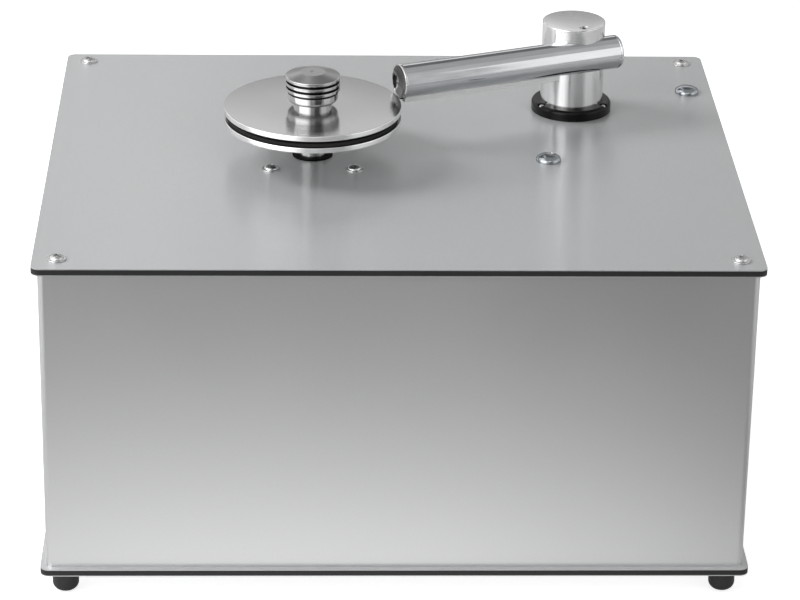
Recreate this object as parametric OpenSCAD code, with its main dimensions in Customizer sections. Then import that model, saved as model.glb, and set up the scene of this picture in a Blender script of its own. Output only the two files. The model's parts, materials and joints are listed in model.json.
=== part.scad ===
// Record cleaning machine: washes a record on a small platter and dries it through a suction arm.
// Origin: centre of the footprint on the ground. X runs right, Y runs to the rear, Z runs up.

/* [Case] */
// Width of the top and bottom plates
plate_w = 385; // [380:1:430]
// Depth of the top and bottom plates
plate_d = 325; // [320:1:370]
// Thickness of each composite plate
plate_t = 4; // [3:0.5:6]
// Thickness of the metal skin on each face of a plate
skin_t = 0.5; // [0.3:0.1:0.8]
// Corner radius of the plates
plate_r = 5; // [3:0.5:8]
// Height of the folded body between the plates
body_h = 173.6; // [168:0.2:200]
// How far the plates stand out past the body
overhang = 3.2; // [2.8:0.1:5]
// Thickness of the body sheet
wall = 1.5; // [1:0.1:2]
// Outer bend radius of the body's upright corners
bend_r = 3.5; // [2.5:0.5:5]
// Distance of the corner screws and feet from the plate edges
corner_inset = 13; // [12:0.5:15]
// Diameter of a foot
foot_d = 14.4; // [12:0.2:16]
// Height of a foot
foot_h = 14; // [8:0.5:20]

/* [Platter] */
// Distance of the spindle to the left of the arm pillar
spindle_left = 151.7; // [146:0.1:158]
// Diameter of the platter disc and of the clamp disc
disc_d = 99.6; // [97:0.2:100]
// Thickness of the platter disc and of the clamp disc
disc_t = 3; // [2:0.1:4]
// Diameter of the mat and of the clamp's seal
mat_d = 96; // [90:0.5:96.5]
// Thickness of the mat on the platter disc
mat_t = 1.9; // [1:0.1:2.5]
// Thickness of the seal under the clamp disc
seal_t = 1.9; // [1:0.1:2.5]
// Height of the platter disc's underside above the top plate
platter_rise = 20; // [17:0.5:21]
// Diameter of the hub
hub_d = 16.4; // [15:0.2:18]
// Width of the bush's ring that shows round the hub
bush_w = 3.2; // [2.8:0.1:5]
// Diameter of the spindle that a record's centre hole goes over
spindle_d = 7.1; // [7:0.02:7.2]
// Length of the spindle above the mat
spindle_above_mat = 17; // [12:0.5:18]
// Diameter of the motor shaft
shaft_d = 8; // [6:0.5:9]
// Side of the square that the four motor screws stand on
motor_pitch = 46.6; // [44:0.2:48]
// Side of the square gearbox
gearbox_w = 60; // [58:1:64]
// Height of the gearbox
gearbox_h = 28; // [24:1:34]
// Diameter of the gear motor
gear_motor_d = 50; // [40:1:54]
// Length of the gear motor
gear_motor_h = 56; // [40:1:62]

/* [Clamp knob] */
// Diameter of the knob's ribs
knob_d = 30.6; // [29:0.2:34]
// How far the knob's plain lower part stands back from its ribs
knob_step = 1.1; // [0.6:0.1:1.5]
// Diameter of the knob's foot on the clamp disc
knob_foot_d = 21.8; // [20:0.2:23]
// Height of the knob above the clamp disc
knob_h = 19.7; // [18.5:0.1:22]
// Height of the knob's foot on the clamp disc
knob_neck = 2.5; // [2:0.1:2.8]
// Height of the rounded bottom edge of the knob above its foot
knob_round = 2.5; // [2:0.1:2.7]
// Diameter of the flat on top of the knob
knob_flat_d = 14; // [10:0.2:18]
// Height of the cone from the top rib to the flat
knob_cone = 2.1; // [1.5:0.1:2.5]
// Number of grooves round the knob
groove_count = 3; // [2:1:3]
// Distance from one groove to the next
groove_pitch = 3.2; // [2.6:0.1:3.4]
// Width of a groove
groove_w = 1.5; // [1:0.1:1.9]
// Depth of a groove
groove_depth = 1.7; // [1.6:0.1:2.5]

/* [Suction arm] */
// Distance of the arm pillar from the right edge of the plates
pillar_from_right = 85.8; // [83.5:0.1:92]
// Distance of the arm pillar to the rear of the plate's centre
pillar_rear = 74.2; // [72:0.1:77]
// Direction of the arm tube in plan, from its tip to its tail
arm_angle = 22; // [19:0.5:25]
// Diameter of the pillar
pillar_d = 36.4; // [36:0.1:38]
// Height of the pillar's top above the top plate
pillar_h = 54.1; // [53:0.1:60]
// Diameter of the stem below the pillar
stem_d = 28; // [26:0.5:29]
// Bore of the pillar and stem that the fluid runs down
stem_bore = 18; // [14:0.5:20]
// How far the arm can be lifted
arm_travel = 12; // [8:0.5:14]
// Outer diameter of the arm tube
tube_d = 19.4; // [18.8:0.1:20]
// Wall of the arm tube
tube_wall = 2.4; // [2:0.1:2.8]
// Wall of the arm tube round the plug in its tip
plug_wall = 1.7; // [1.4:0.1:1.9]
// Height of the tube's axis above the top plate
tube_z = 36.9; // [36.6:0.1:40]
// Distance of the tube's axis from the pillar's axis
tube_offset = 13.25; // [13:0.05:14]
// Least gap between the tip of the arm and the rim of the platter disc
tip_gap = 2.8; // [2.8:0.1:12]
// Thickness of the lip on the tip of the arm
lip_t = 1.3; // [1:0.1:1.6]
// How far the lip stands out past the arm tube
lip_step = 0.7; // [0.4:0.1:0.8]
// Reach of the tube's tail past the pillar's axis
tail_reach = 22.2; // [20.5:0.1:28]
// Width of the flat under the tube that carries the strips
strip_flat_w = 10.4; // [9.6:0.1:11]
// Width of the suction slot between the strips
slot_w = 2.4; // [1.5:0.1:3]
// Thickness of the felt strips below the flat
strip_t = 2.9; // [2:0.1:3.3]
// Width of the flange ring round the pillar
flange_w = 5; // [4.8:0.1:6]
// Height of the flange ring
flange_h = 6; // [5:0.1:7]
// Radius of the flange ring's rounded top edge
flange_round = 2.3; // [1.5:0.1:2.4]

/* [Waste tank] */
// Width of the tank
tank_w = 84; // [78:1:86]
// Depth of the tank
tank_d = 104; // [100:1:108]
// Height of the tank
tank_h = 108; // [80:1:112]
// Wall of the tank
tank_wall = 2.5; // [2:0.1:3]
// Thickness of the tank lid
lid_t = 4; // [3:0.5:5]
// Depth of the tank lid below the top plate's upper face
lid_drop = 38; // [37.6:0.1:40]
// Outer diameter of the suction hose
hose_d = 16; // [15:0.5:17]
// Bore of the suction hose
hose_bore = 12; // [10:0.5:12.5]
// Radius of the hose's bends along its middle line
hose_bend = 16; // [14:0.5:16]
// Outer diameter of the drain cup in the rear panel
cup_d = 44; // [42:0.5:50]
// Depth of the drain cup
cup_depth = 17; // [17:0.5:20]
// Diameter of the drain cap
cap_d = 15; // [14:0.2:16]

/* [Vacuum unit] */
// Diameter of the fan housing
fan_case_d = 108; // [100:1:110]
// Height of the fan housing
fan_case_h = 40; // [36:1:44]
// Wall of the fan housing
fan_case_wall = 2; // [1.5:0.1:2.5]
// Number of blades on the fan
blade_count = 10; // [6:1:12]
// Diameter of the vacuum motor
vac_motor_d = 76; // [60:1:84]
// Height of the vacuum motor
vac_motor_h = 60; // [50:1:64]
// Height of the rubber mount under the vacuum motor
mount_h = 8; // [6:0.5:10]
// Width of the exhaust duct
duct_w = 50; // [40:1:56]
// Height of the exhaust duct
duct_h = 24; // [18:1:26]

/* [Controls] */
// Length of a switch rocker
rocker_l = 15.2; // [14:0.2:15.6]
// Width of a switch rocker
rocker_w = 10; // [9:0.2:10.2]
// Angle that a rocker tilts to each side
rocker_tilt = 7; // [5:0.5:8]
// Length of a switch's bezel
bezel_l = 21; // [20:0.5:24]
// Width of a switch's bezel
bezel_w = 15; // [14:0.5:17]
// Height of the switches' middle below the top plate
switch_drop = 45; // [36:1:60]
// Distance from the front edge of the plate to the first switch
switch_front = 55; // [50:1:70]
// Distance between the two switches on the side
switch_pitch = 30; // [26:1:36]
// Width of the mains inlet's socket
socket_w = 24.5; // [24:0.1:25]
// Height of the mains inlet's socket
socket_h = 17.4; // [17:0.1:18]
// Depth of the mains inlet's socket
socket_depth = 17; // [15:0.5:18]
// Width of a vent slot in the bottom plate
vent_w = 3; // [2:0.1:4]
// Distance from one vent slot in the bottom plate to the next
vent_pitch = 7; // [6:0.1:9]
// Length of a vent slot in the bottom plate
vent_l = 20; // [14:1:26]

/* [Hidden] */
$fn = 48;

// Clearances
run_gap = 0.05;
fit_gap = 0.1;
move_gap = 0.3;
cut = 0.01;
deep = 1;

// Levels
base_z = foot_h;
floor_z = base_z + plate_t;
ceiling_z = floor_z + body_h;
top_z = ceiling_z + plate_t;

// Plan places
inner_x = plate_w / 2 - overhang - wall;
inner_y = plate_d / 2 - overhang - wall;
corner_x = plate_w / 2 - corner_inset;
corner_y = plate_d / 2 - corner_inset;
pillar_x = plate_w / 2 - pillar_from_right;
spindle_x = pillar_x - spindle_left;
post_w = 2 * (corner_inset - overhang - wall);

// Screws: shank radius and the hole that it goes through
m25_r = 1.25;
m3_r = 1.5;
m4_r = 2;
m6_r = 3;

// Stack on the spindle
disc_z = top_z + platter_rise;
mat_z = disc_z + disc_t;
seal_z = mat_z + mat_t;
clamp_z = seal_z + seal_t;
knob_z = clamp_z + disc_t;
spindle_top = seal_z + spindle_above_mat;
spigot_r = 6;
hub_below = 13;
hub_bottom = top_z - hub_below;
bush_lip = 0.6;
bush_r = hub_d / 2 + bush_w;
bush_sleeve_r = bush_r - 1;
bush_below = 9;
gearbox_gap = 10;
gearbox_top = ceiling_z - gearbox_gap;
shaft_in_gearbox = 18;
shaft_in_hub = 14;
gear_motor_shift = 4;
spindle_foot = top_z + 6;

// Screws that show: head diameter and height, length below the plates, studs of the feet
screw_head_d = 10.4;
screw_head_h = 2.75;
screw_bite = 10;
panel_screw_d = 6;
panel_screw_h = 1.7;
panel_screw_bite = 6;
panel_screw_hex = 2;
stud_up = 12;
stud_down = 7;
panel_screw_in = 24;
panel_screw_z = [floor_z + panel_screw_in, floor_z + body_h / 2, ceiling_z - panel_screw_in];

// Arm
pillar_to_spindle = norm([pillar_x - spindle_x, pillar_rear]);
tip_reach = pillar_to_spindle - disc_d / 2 - tip_gap;
tip_plug_l = 9;
stem_socket_drop = 36.5;
stem_clip_t = 1.1;
stem_clip_r = stem_d / 2 + 1.8;
clip_groove = 1;
socket_z = top_z - stem_socket_drop;
clip_z = socket_z - arm_travel - move_gap - stem_clip_t;
stem_end = clip_z - 2;
washer_t = 1;
flat_z = sqrt(pow(tube_d / 2, 2) - pow(strip_flat_w / 2, 2));
cap_t = 2.5;
strip_from_tip = lip_t + 0.2;
strip_end = pillar_d / 2 - 0.6;
flange_in_r = pillar_d / 2 + run_gap;
flange_r = flange_in_r + flange_w;
flange_screw_r = flange_in_r + flange_w / 2;
flange_screw_angles = [-150, -30, 90];
flange_sink = 1.8;
socket_flange_t = 5;
socket_flange_r = flange_r + 2.8;
socket_wall = 4;
neck_r = stem_d / 2 + run_gap + socket_wall;
neck_wall = 2.5;
seal_band = 1.5;
neck_h = 12;

// Tank, placed round the arm's stem
tank_left = 21.6;
tank_front = 74.2;
tank_x = pillar_x - tank_left + tank_w / 2;
tank_y = pillar_rear - tank_front + tank_d / 2;
lid_z = top_z - lid_drop;
tank_top = lid_z - lid_t;
tank_bottom = tank_top - tank_h;
tank_r = 8;
bolt_out = 8.6;
bolt_places = [
    [tank_x - tank_w / 2 + 2.7, tank_y - tank_d / 2 - bolt_out],
    [tank_x + tank_w / 2 + bolt_out, tank_y + tank_d / 2 - 3.2]
];
ear_r = m6_r + 4;
nut_t = 5;
spigot_up = 8;
hose_from_right = 18;
hose_from_front = 25;
hose_start = [tank_x + tank_w / 2 - hose_from_right, tank_y - tank_d / 2 + hose_from_front];
hose_gap = 1.5;
hose_level = ceiling_z - hose_gap - hose_d / 2;
drain_x = tank_x + 14;
drain_z = tank_bottom + 14;
drain_pipe_r = 5;
drain_bore_r = 3.5;
drain_pipe_l = 10;
rear_outer_y = inner_y + wall;
cup_lip_t = 1.5;
cap_l = cup_depth - 4;

// Vacuum unit
vac_x = -plate_w / 2 + 77.5;
vac_y = plate_d / 2 - 87.5;
mount_z = floor_z;
vac_motor_z = mount_z + mount_h;
fan_z = vac_motor_z + vac_motor_h;
fan_top = fan_z + fan_case_h;
fan_disc_t = 2;
fan_d = fan_case_d - 2 * fan_case_wall - 6;
fan_shaft_r = 4;
fan_shaft_up = 12;
inlet_up = 10;
duct_z = fan_z + fan_case_h / 2;
duct_wall = 2;
vent_rows = 5;
rear_vent_h = 2;
rear_vent_l = duct_w - 2 * duct_wall - 6;
rear_vent_step = (duct_h - 2 * duct_wall - rear_vent_h - 1) / (vent_rows - 1);

// Controls
bezel_t = 1;
switch_body_l = 19;
switch_body_w = 12.6;
switch_body_d = 13;
pivot_depth = 3;
pivot_pin_r = 1;
rocker_dish = 0.8;
inlet_x = -plate_w / 2 + 42.5;
inlet_z = floor_z + 36;
mains_switch_x = inlet_x + 38;
inlet_flange_w = 32;
inlet_flange_h = 33;
inlet_flange_t = 2;
inlet_body_w = 28.4;
inlet_body_h = 29.4;
inlet_body_d = 25;
drawer_w = 23;
drawer_h = 6;
drawer_l = 20;
socket_up = 4.5;
drawer_down = 10.2;
pin_places = [[0, 2.5], [7, -1.5], [-7, -1.5]];
pin_l = 14;
board_x = -plate_w / 2 + 87.5;
board_y = -plate_d / 2 + 82.5;
board_w = 90;
board_d = 64;
board_t = 1.6;
standoff_h = 8;
relay_l = 18;
relay_w = 15;
relay_h = 16;
relay_in = 12;
relay_gap = 6;
terminal_l = 24;
terminal_w = 10;
terminal_h = 12;
edge_in = 8;
coil_d = 16;
coil_h = 22;
coil_in = 19;
capacitor_x = board_x + 85;
capacitor_y = -plate_d / 2 + 67.5;
capacitor_d = 35;
capacitor_h = 70;

function arc(cx, cy, r, a0, a1, n) =
    [for (i = [0:n]) [cx + r * cos(a0 + (a1 - a0) * i / n), cy + r * sin(a0 + (a1 - a0) * i / n)]];

module rounded_square(w, d, r) {
    square([w - 2 * r, d], center = true);
    square([w, d - 2 * r], center = true);
    for (sx = [-1, 1], sy = [-1, 1])
        translate([sx * (w / 2 - r), sy * (d / 2 - r)]) circle(r);
}

module slab(w, d, t, r) {
    linear_extrude(t) rounded_square(w, d, r);
}

module tube(r_out, r_in, h) {
    linear_extrude(h) difference() {
        circle(r_out);
        circle(r_in);
    }
}

module at_corners(x, y) {
    for (sx = [-1, 1], sy = [-1, 1]) translate([sx * x, sy * y, 0]) children();
}

module at_spindle() {
    translate([spindle_x, 0, 0]) children();
}

module at_pillar() {
    translate([pillar_x, pillar_rear, 0]) children();
}

module at_flange_screws() {
    at_pillar() for (a = flange_screw_angles)
        rotate([0, 0, a]) translate([flange_screw_r, 0, 0]) children();
}

// Local X runs along the tube towards its tail, the origin lies on the tube beside the pillar
module at_tube() {
    at_pillar() rotate([0, 0, arm_angle]) translate([0, -tube_offset, top_z + tube_z]) children();
}

module at_vacuum() {
    translate([vac_x, vac_y, 0]) children();
}

// Flanged button head with a hex socket, standing on z = 0 with its shank below
module button_screw(head_d, head_h, shank_r, shank_l, socket_af) {
    rim_t = 0.35 * head_h;
    dome_r = 0.4 * head_d;
    difference() {
        rotate_extrude() polygon(concat(
            [[0, -shank_l], [shank_r, -shank_l], [shank_r, 0], [head_d / 2, 0],
                [head_d / 2, 0.7 * rim_t], [head_d / 2 - 0.3, rim_t]],
            [for (a = [0:15:75]) [dome_r * cos(a), rim_t + (head_h - rim_t) * sin(a)]],
            [[0, rim_t + (head_h - rim_t) * sin(75)]]));
        translate([0, 0, 0.35 * head_h]) cylinder(h = head_h, r = socket_af / sqrt(3), $fn = 6);
    }
}

// All holes of the top plate as one flat shape
module top_holes() {
    at_corners(corner_x, corner_y) circle(m4_r + fit_gap);
    translate([spindle_x, 0]) {
        circle(bush_sleeve_r + fit_gap);
        at_corners(motor_pitch / 2, motor_pitch / 2) circle(m4_r + fit_gap);
    }
    at_pillar() circle(stem_d / 2 + 2 * move_gap);
    at_flange_screws() circle(m25_r + fit_gap);
    for (p = bolt_places) translate(p) circle(m6_r + fit_gap);
}

module bottom_holes() {
    at_corners(corner_x, corner_y) circle(m4_r + fit_gap);
    for (i = [-3:3]) translate([board_x + i * vent_pitch, board_y + board_d / 2 + 18])
        square([vent_w, vent_l], center = true);
}

module plate_layer(z, t) {
    translate([0, 0, z]) linear_extrude(t) difference() {
        rounded_square(plate_w, plate_d, plate_r);
        children();
    }
}

module top_plate_skins() color([0.77, 0.78, 0.78]) {
    plate_layer(top_z - skin_t, skin_t) top_holes();
    plate_layer(ceiling_z, skin_t) top_holes();
}

module top_plate_core() color([0.1, 0.1, 0.1])
    plate_layer(ceiling_z + skin_t, plate_t - 2 * skin_t) top_holes();

module bottom_plate_skins() color([0.77, 0.78, 0.78]) {
    plate_layer(floor_z - skin_t, skin_t) bottom_holes();
    plate_layer(base_z, skin_t) bottom_holes();
}

module bottom_plate_core() color([0.1, 0.1, 0.1])
    plate_layer(base_z + skin_t, plate_t - 2 * skin_t) bottom_holes();

// Places of the two switches on the right side, seen from outside
module at_side_switch(i) {
    translate([inner_x + wall, -plate_d / 2 + switch_front + i * switch_pitch, top_z - switch_drop])
        rotate([0, 90, 0]) children();
}

module at_mains_switch() {
    translate([mains_switch_x, rear_outer_y, inlet_z]) rotate([-90, 90, 0]) children();
}

// Front and both sides folded from one sheet
module body_shell() color([0.72, 0.73, 0.73]) difference() {
    translate([0, 0, floor_z]) linear_extrude(body_h) difference() {
        union() {
            rounded_square(plate_w - 2 * overhang, plate_d - 2 * overhang, bend_r);
            translate([-inner_x - wall, 0]) square([2 * inner_x + 2 * wall, inner_y]);
        }
        rounded_square(2 * inner_x, 2 * inner_y, max(bend_r - wall, 0.5));
        translate([-plate_w / 2, inner_y]) square([plate_w, plate_d]);
        translate([-inner_x, 0]) square([2 * inner_x, plate_d]);
    }
    for (i = [0, 1]) at_side_switch(i)
        cube([switch_body_l + 2 * fit_gap, switch_body_w + 2 * fit_gap, 3 * wall], center = true);
}

module at_inlet() {
    translate([inlet_x, rear_outer_y, inlet_z]) rotate([-90, 180, 0]) children();
}

module at_drain() {
    translate([drain_x, rear_outer_y, drain_z]) rotate([-90, 0, 0]) children();
}

module at_panel_screws() {
    for (sx = [-1, 1], z = panel_screw_z)
        translate([sx * corner_x, rear_outer_y, z]) rotate([-90, 0, 0]) children();
}

// Rear panel with the vents, the mains inlet, the mains switch and the drain cup
module rear_panel() color([0.7, 0.71, 0.71]) difference() {
    translate([-plate_w / 2 + overhang, inner_y, floor_z])
        cube([plate_w - 2 * overhang, wall, body_h]);
    for (i = [0:vent_rows - 1])
        translate([vac_x - rear_vent_l / 2, inner_y - deep,
            duct_z + (i - (vent_rows - 1) / 2) * rear_vent_step - rear_vent_h / 2])
            cube([rear_vent_l, wall + 2 * deep, rear_vent_h]);
    at_inlet() cube([inlet_body_w + 2 * fit_gap, inlet_body_h + 2 * fit_gap, 3 * wall], center = true);
    at_mains_switch()
        cube([switch_body_l + 2 * fit_gap, switch_body_w + 2 * fit_gap, 3 * wall], center = true);
    at_drain() cylinder(h = 4 * wall, r = cup_d / 2 - 4 + fit_gap, center = true);
    at_panel_screws() cylinder(h = 4 * wall, r = m3_r + fit_gap, center = true);
}

// Square posts that fill the corners and hold the plates together
module corner_posts() color([0.75, 0.75, 0.76]) difference() {
    at_corners(corner_x, corner_y) difference() {
        translate([0, 0, floor_z]) slab(post_w, post_w, body_h, max(bend_r - wall, 0.5) + 0.2);
        translate([0, 0, floor_z - cut]) cylinder(h = stud_up + 2, r = m4_r + run_gap);
        translate([0, 0, ceiling_z - screw_bite - 2])
            cylinder(h = screw_bite + 2 + cut, r = m4_r + run_gap);
    }
    at_panel_screws() translate([0, 0, -wall - 8]) cylinder(h = 8 + cut, r = m3_r + run_gap);
}

// The screws that show on the top plate: one in each corner and four that hold the gear motor
module plate_screws() color("silver") translate([0, 0, top_z]) {
    at_corners(corner_x, corner_y)
        button_screw(screw_head_d, screw_head_h, m4_r, plate_t + screw_bite, 2.5);
    at_spindle() at_corners(motor_pitch / 2, motor_pitch / 2)
        button_screw(screw_head_d, screw_head_h, m4_r, plate_t + gearbox_gap + screw_bite, 2.5);
}

module panel_screws() color("silver") at_panel_screws()
    button_screw(panel_screw_d, panel_screw_h, m3_r, wall + panel_screw_bite, panel_screw_hex);

// Domed rubber feet on moulded-in studs
module feet() color([0.13, 0.13, 0.13]) at_corners(corner_x, corner_y) difference() {
    foot_round = 4.6;
    rotate_extrude() polygon(concat(
        [[0, 0]],
        arc(foot_d / 2 - foot_round, foot_round, foot_round, -90, -4, 8),
        [[foot_d / 2, foot_h], [0, foot_h]]));
    translate([0, 0, foot_h - stud_down]) cylinder(h = stud_down + cut, r = m4_r + run_gap);
}

module foot_studs() color("silver") at_corners(corner_x, corner_y)
    translate([0, 0, foot_h - stud_down + move_gap])
        cylinder(h = stud_down - move_gap + plate_t + stud_up, r = m4_r);

// Bush that the hub turns in, with a lip that shows on the top plate
module spindle_bush() color([0.12, 0.12, 0.12]) at_spindle() difference() {
    union() {
        translate([0, 0, top_z]) cylinder(h = bush_lip, r = bush_r);
        translate([0, 0, top_z - bush_below]) cylinder(h = bush_below, r = bush_sleeve_r);
    }
    translate([0, 0, hub_bottom]) cylinder(h = hub_below + plate_t, r = hub_d / 2 + run_gap);
}

module platter_hub() color([0.8, 0.8, 0.82]) at_spindle() difference() {
    union() {
        translate([0, 0, hub_bottom]) cylinder(h = disc_z - hub_bottom, r = hub_d / 2);
        translate([0, 0, disc_z - cut]) cylinder(h = disc_t + cut, r = spigot_r);
    }
    translate([0, 0, hub_bottom - cut])
        cylinder(h = shaft_in_hub + cut, r = shaft_d / 2 + run_gap);
    translate([0, 0, spindle_foot]) cylinder(h = mat_z, r = spindle_d / 2 + run_gap);
    translate([0, 0, hub_bottom + 2]) rotate([0, 90, 0]) cylinder(h = hub_d, r = m25_r + run_gap);
}

module hub_set_screw() color([0.2, 0.2, 0.22]) at_spindle()
    translate([shaft_d / 2 + fit_gap, 0, hub_bottom + 2]) rotate([0, 90, 0])
        cylinder(h = hub_d / 2 - shaft_d / 2 - 2 * fit_gap, r = m25_r);

module spindle() color([0.78, 0.78, 0.8]) at_spindle() translate([0, 0, spindle_foot]) {
    chamfer = 1;
    rotate_extrude() polygon([[0, 0], [spindle_d / 2, 0],
        [spindle_d / 2, spindle_top - spindle_foot - chamfer],
        [spindle_d / 2 - chamfer, spindle_top - spindle_foot], [0, spindle_top - spindle_foot]]);
}

// Turned disc with fine chamfers on both edges of its rim
module turned_disc(z, hole_r) {
    edge = 0.35;
    translate([0, 0, z]) rotate_extrude() polygon([
        [hole_r, 0], [disc_d / 2 - edge, 0], [disc_d / 2, edge], [disc_d / 2, disc_t - edge],
        [disc_d / 2 - edge, disc_t], [hole_r, disc_t]]);
}

module platter_disc() color([0.8, 0.8, 0.8]) at_spindle() turned_disc(disc_z, spigot_r + run_gap);

module platter_mat() color([0.08, 0.08, 0.08]) at_spindle()
    translate([0, 0, mat_z]) tube(mat_d / 2, spindle_d / 2 + move_gap, mat_t);

module motor_shaft() color("gray") at_spindle()
    translate([0, 0, gearbox_top - shaft_in_gearbox])
        cylinder(h = hub_bottom + shaft_in_hub - 1 - gearbox_top + shaft_in_gearbox, r = shaft_d / 2);

module clamp_seal() color([0.08, 0.08, 0.08]) at_spindle()
    translate([0, 0, seal_z]) tube(mat_d / 2, spigot_r + 2, seal_t);

module clamp_disc() color([0.8, 0.8, 0.8]) at_spindle() turned_disc(clamp_z, spigot_r + run_gap);

// Knob turned from one bar: rounded foot, plain waist, ribs between sharp grooves, cone and flat
module clamp_knob() color([0.82, 0.82, 0.84]) at_spindle() {
    rib_r = knob_d / 2;
    waist_r = rib_r - knob_step;
    groove_r = rib_r - groove_depth;
    foot_r = knob_foot_d / 2;
    rib_top = knob_h - knob_cone;
    first = rib_top - 1.7 - groove_w;
    grooves = [for (i = [groove_count - 1:-1:0]) first - i * groove_pitch];
    dimple_r = 1.6;
    dimple = 0.5;
    difference() {
        translate([0, 0, knob_z]) rotate_extrude() polygon(concat(
            [[0, -disc_t], [spigot_r, -disc_t], [spigot_r, 0], [foot_r, 0]],
            [for (a = [0:15:90])
                [foot_r + (waist_r - foot_r) * sin(a), knob_neck + knob_round * (1 - cos(a))]],
            [for (z = grooves, p = [[z == grooves[0] ? waist_r : rib_r, z], [groove_r, z],
                [groove_r, z + groove_w], [rib_r, z + groove_w]]) p],
            [[rib_r, rib_top - 0.3], [rib_r - 0.3, rib_top], [knob_flat_d / 2, knob_h],
                [dimple_r, knob_h], [0, knob_h - dimple]]));
        translate([0, 0, clamp_z - cut])
            cylinder(h = spindle_top + 1.2 - clamp_z, r = spindle_d / 2 + run_gap);
    }
}

module gearbox() color([0.35, 0.35, 0.37]) at_spindle()
    translate([0, 0, gearbox_top - gearbox_h]) difference() {
        slab(gearbox_w, gearbox_w, gearbox_h, 6);
        translate([0, 0, gearbox_h - shaft_in_gearbox - 1])
            cylinder(h = gearbox_h, r = shaft_d / 2 + run_gap);
        at_corners(motor_pitch / 2, motor_pitch / 2)
            translate([0, 0, gearbox_h - screw_bite - 1]) cylinder(h = gearbox_h, r = m4_r + run_gap);
    }

module gear_motor() color([0.6, 0.6, 0.62]) at_spindle()
    translate([gear_motor_shift, -gear_motor_shift, gearbox_top - gearbox_h - gear_motor_h]) {
        edge = 2;
        rotate_extrude() polygon([[0, 0], [gear_motor_d / 2 - edge, 0], [gear_motor_d / 2, edge],
            [gear_motor_d / 2, gear_motor_h], [0, gear_motor_h]]);
        translate([0, 0, -4]) cylinder(h = 4 + cut, r = gear_motor_d / 5);
    }

module motor_spacers() color([0.85, 0.85, 0.8]) at_spindle()
    at_corners(motor_pitch / 2, motor_pitch / 2)
        translate([0, 0, gearbox_top]) tube(m4_r + 2, m4_r + fit_gap, gearbox_gap);

// Turned pillar: the tube lies in a cross bore that breaks out of its side, the stem is bored
// from below up into that cross bore
module arm_pillar() color([0.82, 0.83, 0.84]) at_pillar() rotate([0, 0, arm_angle]) difference() {
    edge = 0.5;
    r = pillar_d / 2;
    rotate_extrude() polygon([
        [stem_bore / 2, stem_end], [stem_d / 2, stem_end],
        [stem_d / 2, clip_z], [stem_d / 2 - clip_groove, clip_z],
        [stem_d / 2 - clip_groove, clip_z + stem_clip_t], [stem_d / 2, clip_z + stem_clip_t],
        [stem_d / 2, top_z + washer_t], [r - edge, top_z + washer_t],
        [r, top_z + washer_t + edge], [r, top_z + pillar_h - edge],
        [r - edge, top_z + pillar_h], [0, top_z + pillar_h],
        [0, top_z + tube_z], [stem_bore / 2, top_z + tube_z - 4]]);
    translate([0, -tube_offset, top_z + tube_z]) rotate([0, 90, 0])
        cylinder(h = 2 * pillar_d, r = tube_d / 2 + run_gap, center = true);
    translate([0, -tube_offset, top_z + tube_z]) cylinder(h = pillar_h, r = m25_r * 2 + run_gap);
}

// Arm tube with a flat and the suction slot below, and a port into the pillar's bore
module arm_tube() color([0.8, 0.81, 0.82]) at_tube() difference() {
    length = tip_reach - lip_t + tail_reach - cap_t;
    edge = 0.4;
    seat_r = tube_d / 2 - plug_wall;
    bore_r = tube_d / 2 - tube_wall;
    translate([-tip_reach + lip_t, 0, 0]) rotate([0, 90, 0]) rotate_extrude() polygon([
        [seat_r, 0], [tube_d / 2 - edge, 0], [tube_d / 2, edge],
        [tube_d / 2, length], [bore_r, length], [bore_r, tip_plug_l], [seat_r, tip_plug_l]]);
    translate([-tip_reach - cut, -tube_d / 2, -tube_d])
        cube([tip_reach + cut + move_gap - strip_end, tube_d, tube_d - flat_z]);
    translate([-tip_reach + tip_plug_l + 3, -slot_w / 2, -tube_d])
        cube([tip_reach - tip_plug_l - pillar_d / 2 - 7, slot_w, tube_d]);
    rotate([-90, 0, 0]) cylinder(h = tube_d, r = tube_d / 4);
}

// Plug in the tube's open end, with a polished dish inside a lip that covers the tube's edge
module tip_plug() color([0.35, 0.35, 0.36]) at_tube()
    translate([-tip_reach, 0, 0]) rotate([0, 90, 0]) rotate_extrude() {
        r = tube_d / 2 - plug_wall - run_gap;
        lip_r = tube_d / 2 + lip_step;
        edge = 0.5;
        rim = lip_r - 1.1;
        dish = 3.4;
        dish_r = (rim * rim + dish * dish) / (2 * dish);
        half = asin(rim / dish_r);
        polygon(concat([[0, tip_plug_l], [0, dish]],
            [for (i = [1:8]) [dish_r * sin(half * i / 8), dish - dish_r * (1 - cos(half * i / 8))]],
            [[lip_r - edge, 0], [lip_r, edge], [lip_r, lip_t], [r, lip_t], [r, tip_plug_l]]));
    }

module tail_cap() color([0.8, 0.81, 0.82]) at_tube()
    translate([tail_reach - cap_t, 0, 0]) rotate([0, 90, 0]) rotate_extrude() {
        r = tube_d / 2;
        edge = 1.4;
        polygon(concat([[0, -6], [r - tube_wall - run_gap, -6], [r - tube_wall - run_gap, 0],
            [r - 0.3, 0], [r - 0.3, 0.5], [r, 0.5]],
            arc(r - edge, cap_t - edge, edge, 0, 90, 5), [[0, cap_t]]));
    }

// Two felt strips, one on each side of the slot
module arm_strips() color([0.85, 0.85, 0.83]) at_tube() for (side = [-1, 1]) {
    inner = slot_w / 2 + 0.1;
    width = strip_flat_w / 2 - inner;
    translate([-tip_reach + strip_from_tip, side * (inner + width / 2) - width / 2, -flat_z - strip_t])
        cube([tip_reach - strip_from_tip - strip_end, width, strip_t]);
}

module arm_set_screw() color([0.5, 0.5, 0.52]) at_tube() difference() {
    from = tube_d / 2 + fit_gap;
    to = pillar_h - tube_z - 0.6;
    translate([0, 0, from]) cylinder(h = to - from, r = m25_r * 2);
    translate([0, 0, to - 2]) cylinder(h = 3, r = 2.5 / sqrt(3), $fn = 6);
}

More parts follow.
